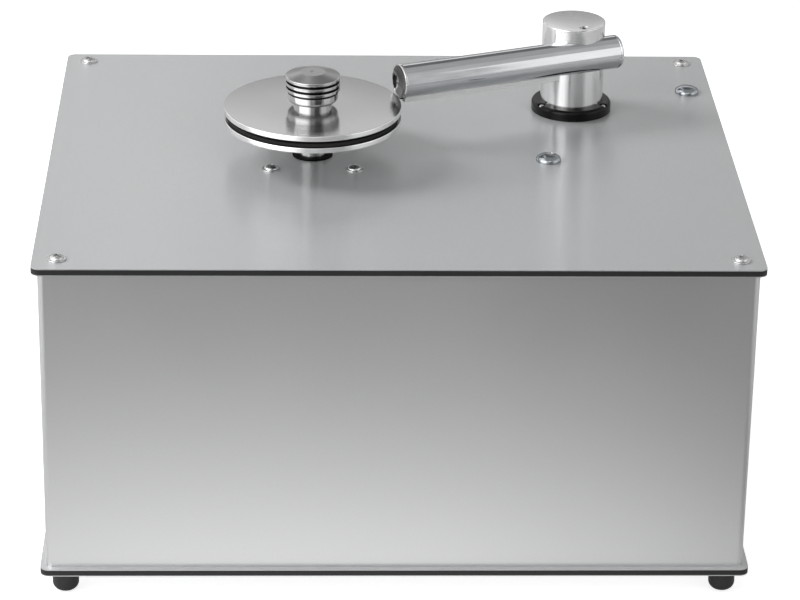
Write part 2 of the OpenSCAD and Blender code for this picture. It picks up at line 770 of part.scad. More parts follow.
module stem_clip() color([0.3, 0.3, 0.32]) at_pillar() translate([0, 0, clip_z + 0.02])
    linear_extrude(stem_clip_t - 0.04) difference() {
        circle(stem_clip_r);
        circle(stem_d / 2 - clip_groove + run_gap);
        translate([stem_d / 2, 0]) square([stem_d / 2, 5], center = true);
    }

module slide_washer() color([0.9, 0.9, 0.88]) at_pillar()
    translate([0, 0, top_z]) tube(pillar_d / 2 - 0.2, stem_d / 2 + run_gap, washer_t);

module flange_ring() color([0.07, 0.07, 0.07]) difference() {
    at_pillar() translate([0, 0, top_z]) rotate_extrude() polygon(concat(
        [[flange_in_r, 0], [flange_r, 0]],
        arc(flange_r - flange_round, flange_h - flange_round, flange_round, 0, 90, 6),
        [[flange_in_r, flange_h]]));
    at_flange_screws() translate([0, 0, top_z]) {
        translate([0, 0, -cut]) cylinder(h = flange_h, r = m25_r + fit_gap);
        translate([0, 0, flange_h - flange_sink]) cylinder(h = 3, r = 2.2);
    }
}

module flange_screws() color("silver") at_flange_screws()
    translate([0, 0, top_z + flange_h - flange_sink])
        button_screw(4, 1.5, m25_r, flange_h - flange_sink + plate_t + socket_flange_t - 0.5, 1.5);

// Socket below the plate that guides the stem
module arm_socket() color([0.15, 0.15, 0.16]) difference() {
    at_pillar() {
        translate([0, 0, ceiling_z - socket_flange_t])
            cylinder(h = socket_flange_t, r = socket_flange_r);
        translate([0, 0, socket_z]) cylinder(h = ceiling_z - socket_z - 1, r = neck_r);
    }
    at_pillar() translate([0, 0, socket_z - cut]) cylinder(h = ceiling_z, r = stem_d / 2 + run_gap);
    at_flange_screws() translate([0, 0, ceiling_z - socket_flange_t - cut])
        cylinder(h = socket_flange_t + 1, r = m25_r + run_gap);
}

module neck_seal() color([0.1, 0.1, 0.1]) at_pillar()
    translate([0, 0, lid_z + 3]) tube(neck_r + seal_band - run_gap, neck_r + run_gap, neck_h - 4);

// Lid with the neck for the arm's socket, a spigot for the suction hose and two ears
module tank_lid() color([0.85, 0.85, 0.85]) {
    difference() {
        union() {
            translate([tank_x, tank_y, tank_top]) slab(tank_w + 2, tank_d + 2, lid_t, tank_r);
            translate([tank_x, tank_y, tank_top - 4])
                slab(tank_w - 2 * tank_wall - 0.6, tank_d - 2 * tank_wall - 0.6, 5, tank_r - tank_wall);
            for (p = bolt_places) translate([p[0], p[1], tank_top]) cylinder(h = lid_t, r = ear_r);
            translate([bolt_places[0][0] - ear_r, bolt_places[0][1], tank_top])
                cube([2 * ear_r, bolt_out + tank_r, lid_t]);
            translate([bolt_places[1][0] - bolt_out - tank_r, bolt_places[1][1] - ear_r, tank_top])
                cube([bolt_out + tank_r, 2 * ear_r, lid_t]);
            at_pillar() translate([0, 0, lid_z - 1])
                cylinder(h = neck_h + 1, r = neck_r + seal_band + neck_wall);
            translate([hose_start[0], hose_start[1], lid_z - 1])
                cylinder(h = spigot_up + 1, r = hose_bore / 2 - run_gap);
        }
        at_pillar() translate([0, 0, lid_z]) cylinder(h = neck_h + 1, r = neck_r + seal_band);
        at_pillar() translate([0, 0, tank_top - 5]) cylinder(h = lid_t + 10, r = stem_clip_r + 0.8);
        translate([hose_start[0], hose_start[1], tank_top - 5])
            cylinder(h = lid_t + spigot_up + 10, r = hose_bore / 2 - 1.6);
        for (p = bolt_places) translate([p[0], p[1], tank_top - 1])
            cylinder(h = lid_t + 2, r = m6_r + fit_gap);
    }
}

// Open-topped tank with its drain pipe low at the rear
module waste_tank() color([0.9, 0.9, 0.9, 0.9]) difference() {
    union() {
        translate([tank_x, tank_y, tank_bottom]) slab(tank_w, tank_d, tank_h, tank_r);
        translate([drain_x, tank_y + tank_d / 2 - 1, drain_z]) rotate([-90, 0, 0])
            cylinder(h = drain_pipe_l + 1, r = drain_pipe_r);
    }
    translate([tank_x, tank_y, tank_bottom + tank_wall])
        slab(tank_w - 2 * tank_wall, tank_d - 2 * tank_wall, tank_h, tank_r - tank_wall);
    translate([drain_x, tank_y + tank_d / 2 - 2 * tank_wall, drain_z]) rotate([-90, 0, 0])
        cylinder(h = drain_pipe_l + 3 * tank_wall, r = drain_bore_r);
}

module tank_bolts() color([0.75, 0.8, 0.85]) for (p = bolt_places)
    translate([p[0], p[1], top_z]) {
        dome_r = 7.1;
        edge_h = 0.9;
        dome_h = 3.2;
        reach = lid_drop + lid_t + nut_t + 1;
        rotate_extrude() polygon(concat([[0, -reach], [m6_r, -reach], [m6_r, 0], [dome_r, 0]],
            [for (a = [0:10:80]) [dome_r * cos(a), edge_h + dome_h * sin(a)]], [[0, edge_h + dome_h]]));
    }

module tank_spacers() color("gray") for (p = bolt_places)
    translate([p[0], p[1], lid_z]) tube(m6_r + 2.5, m6_r + fit_gap, ceiling_z - lid_z);

module tank_nuts() color("silver") for (p = bolt_places)
    translate([p[0], p[1], tank_top - nut_t]) difference() {
        cylinder(h = nut_t, r = 10 / sqrt(3), $fn = 6);
        translate([0, 0, -cut]) cylinder(h = nut_t + 1, r = m6_r + run_gap);
    }

// Hose from the tank lid up, across below the top plate and down to the fan housing
module suction_hose() color([0.2, 0.2, 0.2]) {
    dx = vac_x - hose_start[0];
    dy = vac_y - hose_start[1];
    run = sqrt(dx * dx + dy * dy);
    bend_z = hose_level - hose_bend;
    start_z = lid_z + 0.5;
    end_z = fan_top + 0.5;
    translate([hose_start[0], hose_start[1], 0]) rotate([0, 0, atan2(dy, dx)]) {
        translate([0, 0, start_z]) tube(hose_d / 2, hose_bore / 2, bend_z - start_z);
        translate([hose_bend, 0, bend_z]) rotate([90, 0, 0]) rotate([0, 0, 90])
            hose_elbow();
        translate([hose_bend, 0, hose_level]) rotate([0, 90, 0])
            tube(hose_d / 2, hose_bore / 2, run - 2 * hose_bend);
        translate([run - hose_bend, 0, bend_z]) rotate([90, 0, 0]) hose_elbow();
        translate([run, 0, end_z]) tube(hose_d / 2, hose_bore / 2, bend_z - end_z);
    }
}

module hose_elbow() {
    rotate_extrude(angle = 90) translate([hose_bend, 0]) difference() {
        circle(hose_d / 2);
        circle(hose_bore / 2);
    }
}

// Drum with an inlet spigot on top and an opening to the exhaust duct at the rear
module fan_housing() color([0.25, 0.25, 0.27]) at_vacuum() difference() {
    r = fan_case_d / 2;
    union() {
        translate([0, 0, fan_z]) cylinder(h = fan_case_h, r = r);
        translate([0, 0, fan_top - 1]) cylinder(h = inlet_up + 1, r = hose_bore / 2 - run_gap);
    }
    translate([0, 0, fan_z + fan_case_wall])
        cylinder(h = fan_case_h - 2 * fan_case_wall, r = r - fan_case_wall);
    translate([0, 0, fan_z - deep]) cylinder(h = fan_case_h, r = fan_shaft_r + move_gap);
    translate([0, 0, fan_top - deep - fan_case_wall])
        cylinder(h = inlet_up + 5, r = hose_bore / 2 - 1.6);
    translate([-duct_w / 2 + 3, 0, duct_z - duct_h / 2 + 3]) cube([duct_w - 6, r + 1, duct_h - 6]);
}

// Backplate, upright blades and shaft
module vacuum_fan() color([0.6, 0.6, 0.62]) at_vacuum() {
    bottom = fan_z + fan_case_wall + 2;
    blade_h = fan_case_h - 2 * fan_case_wall - 4 - fan_disc_t;
    difference() {
        union() {
            translate([0, 0, bottom]) cylinder(h = fan_disc_t, r = fan_d / 2);
            translate([0, 0, bottom]) cylinder(h = blade_h, r = 9);
            for (i = [0:blade_count - 1]) rotate([0, 0, i * 360 / blade_count])
                translate([8, -0.8, bottom + fan_disc_t - cut])
                    cube([fan_d / 2 - 9, 1.6, blade_h - fan_disc_t]);
        }
        translate([0, 0, bottom + 6]) cylinder(h = fan_case_h, r = 4);
    }
    translate([0, 0, vac_motor_z + fan_shaft_up])
        cylinder(h = bottom + 1 - vac_motor_z - fan_shaft_up, r = fan_shaft_r);
}

module vacuum_motor() color([0.5, 0.5, 0.52]) at_vacuum() difference() {
    edge = 4;
    r = vac_motor_d / 2;
    translate([0, 0, vac_motor_z]) rotate_extrude() polygon([[0, 0], [r - edge, 0], [r, edge],
        [r, vac_motor_h - edge], [r - edge, vac_motor_h], [0, vac_motor_h]]);
    translate([0, 0, vac_motor_z + fan_shaft_up - 2]) cylinder(h = vac_motor_h, r = fan_shaft_r + run_gap);
}

module motor_mount() color([0.1, 0.1, 0.1]) at_vacuum()
    translate([0, 0, mount_z]) tube(vac_motor_d / 2 + 4, vac_motor_d / 2 - 12, mount_h);

// Square duct between the fan housing and the vents
module exhaust_duct() color([0.2, 0.2, 0.2]) difference() {
    translate([vac_x - duct_w / 2, vac_y, duct_z - duct_h / 2])
        cube([duct_w, inner_y - vac_y, duct_h]);
    translate([vac_x - duct_w / 2 + duct_wall, vac_y - 1, duct_z - duct_h / 2 + duct_wall])
        cube([duct_w - 2 * duct_wall, inner_y - vac_y + 2, duct_h - 2 * duct_wall]);
    at_vacuum() translate([0, 0, fan_z - 1]) cylinder(h = fan_case_h + 2, r = fan_case_d / 2 + fit_gap);
}

module drain_hose() color([0.15, 0.15, 0.15]) {
    from = tank_y + tank_d / 2 + 0.4;
    to = rear_outer_y - cup_depth - 0.4;
    translate([drain_x, from, drain_z]) rotate([-90, 0, 0])
        tube(drain_pipe_r + 2.5, drain_pipe_r + run_gap, to - from);
}

// Cup sunk into the rear panel, with a pipe through its floor
module drain_cup() color([0.12, 0.12, 0.12]) at_drain() difference() {
    pipe_out = cup_depth - 3;
    pipe_in = 8;
    floor_t = 2;
    r = cup_d / 2;
    rotate_extrude() polygon([
        [drain_bore_r, -cup_depth - pipe_in], [drain_pipe_r, -cup_depth - pipe_in],
        [drain_pipe_r, -cup_depth], [r - 4, -cup_depth], [r - 4, 0], [r, 0], [r, cup_lip_t],
        [r - 6, cup_lip_t], [r - 6, -cup_depth + floor_t], [drain_pipe_r, -cup_depth + floor_t],
        [drain_pipe_r, -cup_depth + pipe_out], [drain_bore_r, -cup_depth + pipe_out]]);
}

module drain_cap() color([0.08, 0.08, 0.08]) at_drain() difference() {
    bottom = -cup_depth + 2.3;
    edge = 1;
    rotate_extrude() polygon([[0, bottom], [cap_d / 2, bottom], [cap_d / 2, bottom + cap_l - edge],
        [cap_d / 2 - edge, bottom + cap_l], [0, bottom + cap_l]]);
    translate([0, 0, bottom - cut]) cylinder(h = cup_depth - 4.6, r = drain_pipe_r + run_gap);
}

// Mains inlet with a socket for the plug and a slot for the fuse drawer
module mains_inlet() color([0.08, 0.08, 0.08]) at_inlet() {
    difference() {
        union() {
            slab(inlet_flange_w, inlet_flange_h, inlet_flange_t, 2);
            translate([0, 0, -inlet_body_d + cut])
                linear_extrude(inlet_body_d) square([inlet_body_w, inlet_body_h], center = true);
        }
        translate([0, socket_up, inlet_flange_t - socket_depth]) linear_extrude(socket_depth + 1)
            polygon([[-socket_w / 2, -socket_h / 2], [socket_w / 2, -socket_h / 2],
                [socket_w / 2, socket_h / 2 - 5], [socket_w / 2 - 5, socket_h / 2],
                [-socket_w / 2 + 5, socket_h / 2], [-socket_w / 2, socket_h / 2 - 5]]);
        translate([-drawer_w / 2 - fit_gap, -drawer_down - drawer_h / 2 - fit_gap, -drawer_l])
            cube([drawer_w + 2 * fit_gap, drawer_h + 2 * fit_gap, drawer_l + 5]);
        for (p = pin_places) translate([p[0], socket_up + p[1], -inlet_body_d - 1])
            linear_extrude(inlet_body_d) square([2 + 2 * run_gap, 4 + 2 * run_gap], center = true);
    }
}

// Flat pins of the inlet, with their soldering tails behind it
module inlet_pins() color("silver") at_inlet() for (p = pin_places)
    translate([p[0], socket_up + p[1], 0]) {
        tip = inlet_flange_t - socket_depth + pin_l - 1;
        translate([0, 0, -inlet_body_d - 6]) linear_extrude(inlet_body_d + 6 + tip)
            square([2, 4], center = true);
    }

module fuse_drawer() color([0.1, 0.1, 0.1]) at_inlet() {
    translate([-drawer_w / 2, -drawer_down - drawer_h / 2, -drawer_l + move_gap])
        cube([drawer_w, drawer_h, drawer_l + inlet_flange_t - move_gap]);
    translate([-4, -drawer_down - drawer_h / 2, inlet_flange_t - cut]) cube([8, 1.5, 0.8]);
}

// Frame of one rocker switch: bezel outside, box inside. Local X along the rocker, Z outwards
module switch_frame() difference() {
    union() {
        slab(bezel_l, bezel_w, bezel_t, 1.5);
        translate([-switch_body_l / 2, -switch_body_w / 2, -switch_body_d])
            cube([switch_body_l, switch_body_w, switch_body_d + cut]);
    }
    translate([-rocker_l / 2 - 0.7, -rocker_w / 2 - move_gap, -9])
        cube([rocker_l + 1.4, rocker_w + 2 * move_gap, 20]);
    translate([0, 0, -pivot_depth]) rotate([90, 0, 0])
        cylinder(h = switch_body_w - 1, r = pivot_pin_r + run_gap, center = true);
}

module switch_frames() color([0.1, 0.1, 0.1]) {
    for (i = [0, 1]) at_side_switch(i) switch_frame();
    at_mains_switch() switch_frame();
}

// Rocker with a dished face, tilted by the given angle about its pivot
module rocker(tilt) translate([0, 0, -pivot_depth]) rotate([0, tilt, 0]) {
    mid = pivot_depth + rocker_dish;
    end = mid + rocker_l / 2 * tan(rocker_tilt);
    rotate([90, 0, 0]) {
        linear_extrude(rocker_w, center = true) polygon([
            [-rocker_l / 2 + 1.4, -3.5], [rocker_l / 2 - 1.4, -3.5], [rocker_l / 2, -0.5],
            [rocker_l / 2, end], [0, mid], [-rocker_l / 2, end], [-rocker_l / 2, -0.5]]);
        cylinder(h = switch_body_w - 1.4, r = pivot_pin_r, center = true);
    }
}

module mains_rocker() color([0.12, 0.12, 0.12]) at_mains_switch() rocker(rocker_tilt);

module rotation_rocker() color([0.12, 0.12, 0.12]) at_side_switch(0) rocker(0);

module vacuum_rocker() color([0.12, 0.12, 0.12]) at_side_switch(1) rocker(rocker_tilt);

module control_board() color([0.1, 0.35, 0.2]) translate([board_x, board_y, floor_z + standoff_h]) {
    difference() {
        slab(board_w, board_d, board_t, 2);
        at_corners(board_w / 2 - 5, board_d / 2 - 5) translate([0, 0, -1])
            cylinder(h = board_t + 2, r = m3_r + fit_gap);
    }
    relay_x = -board_w / 2 + relay_in;
    for (x = [relay_x, relay_x + relay_l + relay_gap]) translate([x, -relay_w / 2, board_t - cut])
        cube([relay_l, relay_w, relay_h]);
    translate([board_w / 2 - edge_in - terminal_l, board_d / 2 - edge_in - terminal_w, board_t - cut])
        cube([terminal_l, terminal_w, terminal_h]);
    translate([board_w / 2 - coil_in, -board_d / 2 + edge_in + coil_d / 2, board_t - cut])
        cylinder(h = coil_h, r = coil_d / 2);
}

module board_standoffs() color("silver") translate([board_x, board_y, floor_z])
    at_corners(board_w / 2 - 5, board_d / 2 - 5) {
        cylinder(h = standoff_h, r = 3);
        cylinder(h = standoff_h + board_t + 2, r = m3_r);
    }

module run_capacitor() color([0.85, 0.85, 0.86]) translate([capacitor_x, capacitor_y, floor_z]) {
    edge = 1.5;
    r = capacitor_d / 2;
    rotate_extrude() polygon([[0, 0], [r - edge, 0], [r, edge], [r, capacitor_h - edge],
        [r - edge, capacitor_h], [0, capacitor_h]]);
    for (x = [-5, 5]) translate([x - 0.4, -3, capacitor_h - cut]) cube([0.8, 6, 8]);
}

top_plate_skins();
top_plate_core();
body_shell();
rear_panel();
bottom_plate_skins();
bottom_plate_core();
corner_posts();
plate_screws();
feet();
foot_studs();
panel_screws();
spindle_bush();
platter_hub();
platter_disc();
platter_mat();
spindle();
hub_set_screw();
motor_shaft();
clamp_seal();
clamp_disc();
clamp_knob();
gearbox();
gear_motor();
motor_spacers();
arm_pillar();
arm_tube();
tip_plug();
tail_cap();
arm_strips();
arm_set_screw();
stem_clip();
slide_washer();
flange_ring();
flange_screws();
arm_socket();
neck_seal();
tank_lid();
waste_tank();
tank_bolts();
tank_spacers();
tank_nuts();
suction_hose();
fan_housing();
vacuum_fan();
vacuum_motor();
motor_mount();
exhaust_duct();
drain_hose();
drain_cup();
drain_cap();
mains_inlet();
inlet_pins();
fuse_drawer();
switch_frames();
mains_rocker();
rotation_rocker();
vacuum_rocker();
control_board();
board_standoffs();
run_capacitor();
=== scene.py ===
"""Looks of a record cleaning machine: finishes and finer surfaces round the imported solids.
Lengths are in metres, in the frame of the solids: X right, Y to the rear, Z up. Profiles and
other shapes that are multiplied by MM at their end are in millimetres."""
import json
import math

import bmesh
import bpy
import numpy as np
from mathutils import Matrix, Vector


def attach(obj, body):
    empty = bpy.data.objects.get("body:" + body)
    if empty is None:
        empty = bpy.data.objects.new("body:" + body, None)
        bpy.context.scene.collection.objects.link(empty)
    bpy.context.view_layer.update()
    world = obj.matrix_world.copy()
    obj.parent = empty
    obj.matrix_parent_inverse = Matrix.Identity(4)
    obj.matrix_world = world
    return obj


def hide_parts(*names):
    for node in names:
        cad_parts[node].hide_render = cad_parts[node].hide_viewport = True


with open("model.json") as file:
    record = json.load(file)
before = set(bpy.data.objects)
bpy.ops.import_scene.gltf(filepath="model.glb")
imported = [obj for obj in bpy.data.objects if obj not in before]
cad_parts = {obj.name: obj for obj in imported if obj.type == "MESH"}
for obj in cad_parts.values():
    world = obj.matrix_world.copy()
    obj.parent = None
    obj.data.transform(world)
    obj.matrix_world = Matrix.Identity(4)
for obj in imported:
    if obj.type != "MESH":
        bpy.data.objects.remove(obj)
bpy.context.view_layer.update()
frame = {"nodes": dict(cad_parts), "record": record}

MM = 0.001
TOP = 0.1956                        # top of the top plate
SPINDLE = (-0.045, 0.0)             # the platter's axis in plan
PILLAR = (0.1067, 0.0742)           # the arm's axis in plan
ARM_TURN = math.radians(22)         # the tube's turn in plan, from X to Y
ARM_COS, ARM_SIN = math.cos(ARM_TURN), math.sin(ARM_TURN)
TUBE_OFFSET = 0.01325               # from the pillar's axis to the tube's
TUBE_Z = TOP + 0.0369               # height of the tube's axis
PLATTER_Z = TOP + 0.0200            # undersides of the pieces stacked on the spindle
MAT_Z = TOP + 0.0230
SEAL_Z = TOP + 0.0249
CLAMP_Z = TOP + 0.0268
KNOB_Z = TOP + 0.0298
FLANGE_CIRCLE = 20.75               # radius of the circle of flange screws, in millimetres
FLANGE_SEAT = 4.2                   # height of the seats of those screws, in millimetres
FLANGE_ANGLES = np.radians([-150.0, -30.0, 90.0])
SIGNS = [(sx, sy) for sx in (-1, 1) for sy in (-1, 1)]
CORNERS = [(sx * 0.1795, sy * 0.1495) for sx, sy in SIGNS]
MOTOR_SCREWS = [(SPINDLE[0] + sx * 0.0233, sy * 0.0233) for sx, sy in SIGNS]
FLANGE_SCREWS = [(PILLAR[0] + FLANGE_CIRCLE * MM * math.cos(a),
                  PILLAR[1] + FLANGE_CIRCLE * MM * math.sin(a)) for a in FLANGE_ANGLES]
DOME_BOLTS = [(0.0878, -0.0086), (0.1777, 0.1008)]


# ---- camera ----------------------------------------------------------------------------------

CAMERA_ANGLES = (24.24, 2.04, -0.94)            # degrees down, to the right and of roll
CAMERA_PLACE = (-0.05641, -1.74503, 0.89147)
CAMERA_LENS, CAMERA_SENSOR = 149.54, 36         # millimetres


def add_object(name, data):
    """A new object of the scene that holds the data."""
    thing = bpy.data.objects.new(name, data)
    bpy.context.scene.collection.objects.link(thing)
    return thing


def aim_camera():
    """Camera from three angles: pitched down, turned to the right and rolled about its own axis."""
    pitch, yaw, roll = (math.radians(a) for a in CAMERA_ANGLES)
    ahead = Vector((math.sin(yaw) * math.cos(pitch), math.cos(yaw) * math.cos(pitch),
                    -math.sin(pitch)))
    level = Vector((math.cos(yaw), -math.sin(yaw), 0))
    down = ahead.cross(level)
    right = level * math.cos(roll) + down * math.sin(roll)
    up = -(down * math.cos(roll) - level * math.sin(roll))
    data = bpy.data.cameras.new("photo_camera")
    data.sensor_width = CAMERA_SENSOR
    data.lens = CAMERA_LENS
    data.clip_end = 50
    camera = add_object("photo_camera", data)
    turn = Matrix((right, up, -ahead)).transposed().to_4x4()
    camera.matrix_world = Matrix.Translation(CAMERA_PLACE) @ turn
    bpy.context.scene.camera = camera


aim_camera()


# ---- node trees as expressions ---------------------------------------------------------------

def plug(tree, socket, value):
    """Links a wire to a socket, or sets the socket to a plain value."""
    if isinstance(value, Wire):
        tree.links.new(value.socket, socket)
    else:
        socket.default_value = value


class Wire:
    """A socket of a node tree. Arithmetic on it adds Math nodes."""

    def __init__(self, tree, socket):
        self.tree, self.socket = tree, socket

    def math(self, operation, *values):
        node = self.tree.nodes.new("ShaderNodeMath")
        node.operation = operation
        for socket, value in zip(node.inputs, values):
            plug(self.tree, socket, value)
        return Wire(self.tree, node.outputs[0])

    def __add__(self, other):
        return self.math("ADD", self, other)

    def __sub__(self, other):
        return self.math("SUBTRACT", self, other)

    def __rsub__(self, other):
        return self.math("SUBTRACT", other, self)

    def __mul__(self, other):
        return self.math("MULTIPLY", self, other)

    def __truediv__(self, other):
        return self.math("DIVIDE", self, other)

    def __pow__(self, other):
        return self.math("POWER", self, other)

    def __gt__(self, other):
        return self.math("GREATER_THAN", self, other)

    def __lt__(self, other):
        return self.math("LESS_THAN", self, other)

    __radd__ = __add__

    def clamp(self, low=0.0, high=1.0):
        return self.math("MINIMUM", self.math("MAXIMUM", self, low), high)


class Finish:
    """A material being built: node() adds any node, and part() sets the Principled shader."""

    def __init__(self, name, world=False):
        owner = bpy.data.worlds.new(name) if world else bpy.data.materials.new(name)
        owner.use_nodes = True
        self.owner, self.tree = owner, owner.node_tree
        self.tree.nodes.clear()
        self.out = self.tree.nodes.new("ShaderNodeOutput" + ("World" if world else "Material"))

    def node(self, kind, settings=None, output=0, **values):
        """A node's output. A value named i and a number goes to the input of that number, any
        other to the input of its name."""
        node = self.tree.nodes.new("ShaderNode" + kind)
        for key, value in (settings or {}).items():
            setattr(node, key, value)
        for key, value in values.items():
            numbered = key[0] == "i" and key[1:].isdigit()
            plug(self.tree, node.inputs[int(key[1:]) if numbered else key.replace("_", " ")], value)
        return Wire(self.tree, node.outputs[output])

    def place(self):
        """Object coordinates."""
        return self.node("TexCoord", output=3)

    def axes(self, vector):
        split = self.node("SeparateXYZ", Vector=vector).socket.node
        return [Wire(self.tree, socket) for socket in split.outputs]

    def noise(self, vector, scale, detail, roughness):
        return self.node("TexNoise", Vector=vector, Scale=scale, Detail=detail, Roughness=roughness)

    def line_noise(self, along, detail):
        """Noise in one dimension."""
        return self.node("TexNoise", {"noise_dimensions": "1D"}, W=along, Detail=detail)

    def stretch(self, vector, scale, turn=(0, 0, 0), shift=(0, 0, 0)):
        """The vector shifted, then turned, then scaled along each axis."""
        moved = self.node("VectorMath", {"operation": "SUBTRACT"}, i0=vector, i1=shift)
        turned = self.node("Mapping", Vector=moved, Rotation=turn)
        return self.node("VectorMath", {"operation": "MULTIPLY"}, i0=turned, i1=scale)

    def tint(self, factor, dark, light):
        """Colour between dark and light by factor."""
        return self.node("Mix", {"data_type": "RGBA"}, 2, i0=factor, i6=dark, i7=light)

    def tilt(self, amount, direction):
        """The surface normal leaned by amount along a direction."""
        normal = self.node("NewGeometry", output=1)
        lean = self.node("VectorMath", {"operation": "SCALE"}, i0=direction, Scale=amount)
        summed = self.node("VectorMath", {"operation": "ADD"}, i0=normal, i1=lean)
        return self.node("VectorMath", {"operation": "NORMALIZE"}, i0=summed)

    def bump(self, height, distance, strength):
        return self.node("Bump", Height=height, Distance=distance, Strength=strength)

    def part(self, **values):
        shader = self.node("BsdfPrincipled", **values)
        plug(self.tree, self.out.inputs[0], shader)
        return self.owner


def grey(level, blue=0.0):
    """Opaque grey, with a little blue or, where blue is below 0, a little warmth."""
    return (level * (1 - blue), level, level * (1 + blue), 1)


# ---- finishes --------------------------------------------------------------------------------
# tone is a grey level, and rough the middle of the roughness. Noise scales are per metre.

def satin_sheet(name, tone, blue, speck, rough, brushed=0.0, metal=1.0):
    """Rolled sheet with a fine metallic speckle: two noises, grain under a millimetre and slow
    clouds, move its tone, and the clouds its gloss. The grain also roughens a plain sheet. A
    brushed sheet instead leans to front and rear along fine scratches that run left to right,
    which draws reflections out to front and rear, and metal below 1 gives it the matt part of a
    lacquered one."""
    f = Finish(name)
    place = f.place()
    grain = f.noise(place, 1700, 2, 0.6)
    cloud = f.noise(place, 9, 3, 0.5)
    mix = (grain - 0.5) * speck + (cloud - 0.5) * 0.05 + 0.5
    colour = f.tint(mix.clamp(), grey(tone * 0.72, blue), grey(tone * 1.28, blue))
    if brushed:
        scratch = f.noise(f.stretch(place, (3000.0, 9000.0, 3000.0)), 1.0, 1, 0.5)
        normal = f.tilt((scratch - 0.5) * brushed, (0.0, 1.0, 0.0))
    else:
        normal = f.bump(grain, 0.00002, 0.35)
    return f.part(Base_Color=colour, Metallic=metal, Roughness=(cloud - 0.5) * 0.05 + rough,
                  Normal=normal)


def turned_metal(name, tone, rough, lean, centre, band=0.25, grooves=None, face=None, rim=None):
    """Metal turned on a lathe: fine rings round the centre lean the surface along the profile of
    the piece, which draws reflections out across the rings, and wider rings vary tone and gloss
    and, by band, the lean. grooves, as radius, bottom and top, names grooves whose inside is
    painted near black as painted shade, face, as radius and bottom, an end that is faced darker
    and less glossy, and rim the radius beyond which the edge is painted light grey as a painted
    highlight."""
    f = Finish(name)
    x, y, z = f.axes(f.node("VectorMath", {"operation": "SUBTRACT"}, i0=f.place(),
                            i1=(centre[0], centre[1], 0)))
    radius = (x * x + y * y) ** 0.5
    around = f.node("CombineXYZ", X=0.0 - y / (radius + 1e-6), Y=x / (radius + 1e-6), Z=0.0)
    across = f.node("VectorMath", {"operation": "CROSS_PRODUCT"},
                    i0=f.node("NewGeometry", output=1), i1=around)
    path = radius + z * 0.7
    ring = f.line_noise(path * 9000.0, 1.0)
    wide = f.line_noise(path * 620.0, 2.0)
    colour = f.tint(((ring - 0.5) * 0.3 + (wide - 0.5) * 0.5 + 0.5).clamp(),
                    grey(tone * 0.93), grey(tone * 1.07))
    if grooves:
        # Inside the grooves the colour is painted near black: painted shade in the recesses.
        painted_groove_shade = (radius < grooves[0]) * (z > grooves[1]) * (z < grooves[2])
        colour = f.tint(painted_groove_shade, colour, grey(0.03))
    # Past the rim radius the colour is painted light grey: a painted highlight on the edge.
    if rim:
        colour = f.tint(radius > rim, colour, grey(0.82))
    if face:
        end = (radius < face[0]) * (z > face[1])
        colour = f.tint(end, colour, grey(tone * 0.72))
        rough = end * 0.2 + rough
    return f.part(Base_Color=colour, Metallic=1.0, Roughness=(wide - 0.5) * 0.05 + rough,
                  Normal=f.tilt(((ring - 0.5) + (wide - 0.5) * band) * lean, across))


def drawn_metal(name, tone, rough, streak):
    """Drawn and polished tube: fine lines along the arm's own axis in gloss, tone and lean."""
    f = Finish(name)
    line = f.stretch(f.place(), (26.0, 1500.0, 1500.0), turn=(0, 0, -ARM_TURN))
    fine = f.noise(line, 1.0, 3, 0.6)
    broad = f.stretch(f.place(), (60.0, 320.0, 320.0), turn=(0, 0, -ARM_TURN))
    patch = f.noise(broad, 1.0, 3, 0.6)
    colour = f.tint(((fine - 0.5) * streak + (patch - 0.5) * streak + 0.5).clamp(),
                    grey(tone * 0.85, 0.02), grey(tone * 1.15, 0.02))
    return f.part(Base_Color=colour, Metallic=1.0,
                  Roughness=((patch - 0.5) * 0.12 + (fine - 0.5) * 0.06 + rough).clamp(0.03, 1),
                  Normal=f.bump(fine, 0.000012, 0.5))


def plain_metal(name, tone, rough, blue=0.0, grain=900.0):
    """Small bright steel or zinc piece: soft clouds in gloss and a faint grain."""
    f = Finish(name)
    cloud = f.noise(f.place(), grain, 3, 0.6)
    colour = f.tint(cloud, grey(tone * 0.85, blue), grey(tone * 1.15, blue))
    return f.part(Base_Color=colour, Metallic=1.0, Roughness=(cloud - 0.5) * 0.15 + rough,
                  Normal=f.bump(cloud, 0.00003, 0.3))


def plug_with_painted_shade(name, dish, lip):
    """Plug in the arm's tip: the dish, within 9.2 mm of the tube's axis, is painted darker than its
    lip as painted shade in the hollow.
    """
    f = Finish(name)
    axis = (PILLAR[0] + TUBE_OFFSET * ARM_SIN, PILLAR[1] - TUBE_OFFSET * ARM_COS, TUBE_Z)
    x, y, z = f.axes(f.stretch(f.place(), (1.0, 1.0, 1.0), turn=(0, 0, -ARM_TURN), shift=axis))
    radius = (y * y + z * z) ** 0.5
    cloud = f.noise(f.place(), 700.0, 3, 0.6)
    # The dish is painted dark, as painted shade in the hollow of the plug.
    tone = f.tint(radius > 0.0092, grey(dish), grey(lip))
    colour = f.node("Mix", {"data_type": "RGBA", "blend_type": "MULTIPLY"}, 2,
                    i0=0.3, i6=tone, i7=cloud)
    return f.part(Base_Color=colour, Metallic=1.0, Roughness=(cloud - 0.5) * 0.06 + 0.1)


def dark_plastic(name, tone, rough, grain=1500.0, height=0.00003, shine=0.35):
    """Moulded plastic, rubber or paint, pale ones too: pebbling of the given grain and height, and
    slightly uneven gloss."""
    f = Finish(name)
    pebble = f.noise(f.place(), grain, 3, 0.6)
    wide = f.noise(f.place(), 40, 2, 0.5)
    colour = f.tint(pebble * 0.6 + wide * 0.4, grey(tone * 0.7), grey(tone * 1.35))
    return f.part(Base_Color=colour, Roughness=(wide - 0.5) * 0.1 + rough,
                  Specular_IOR_Level=shine, Normal=f.bump(pebble, height, 0.6))


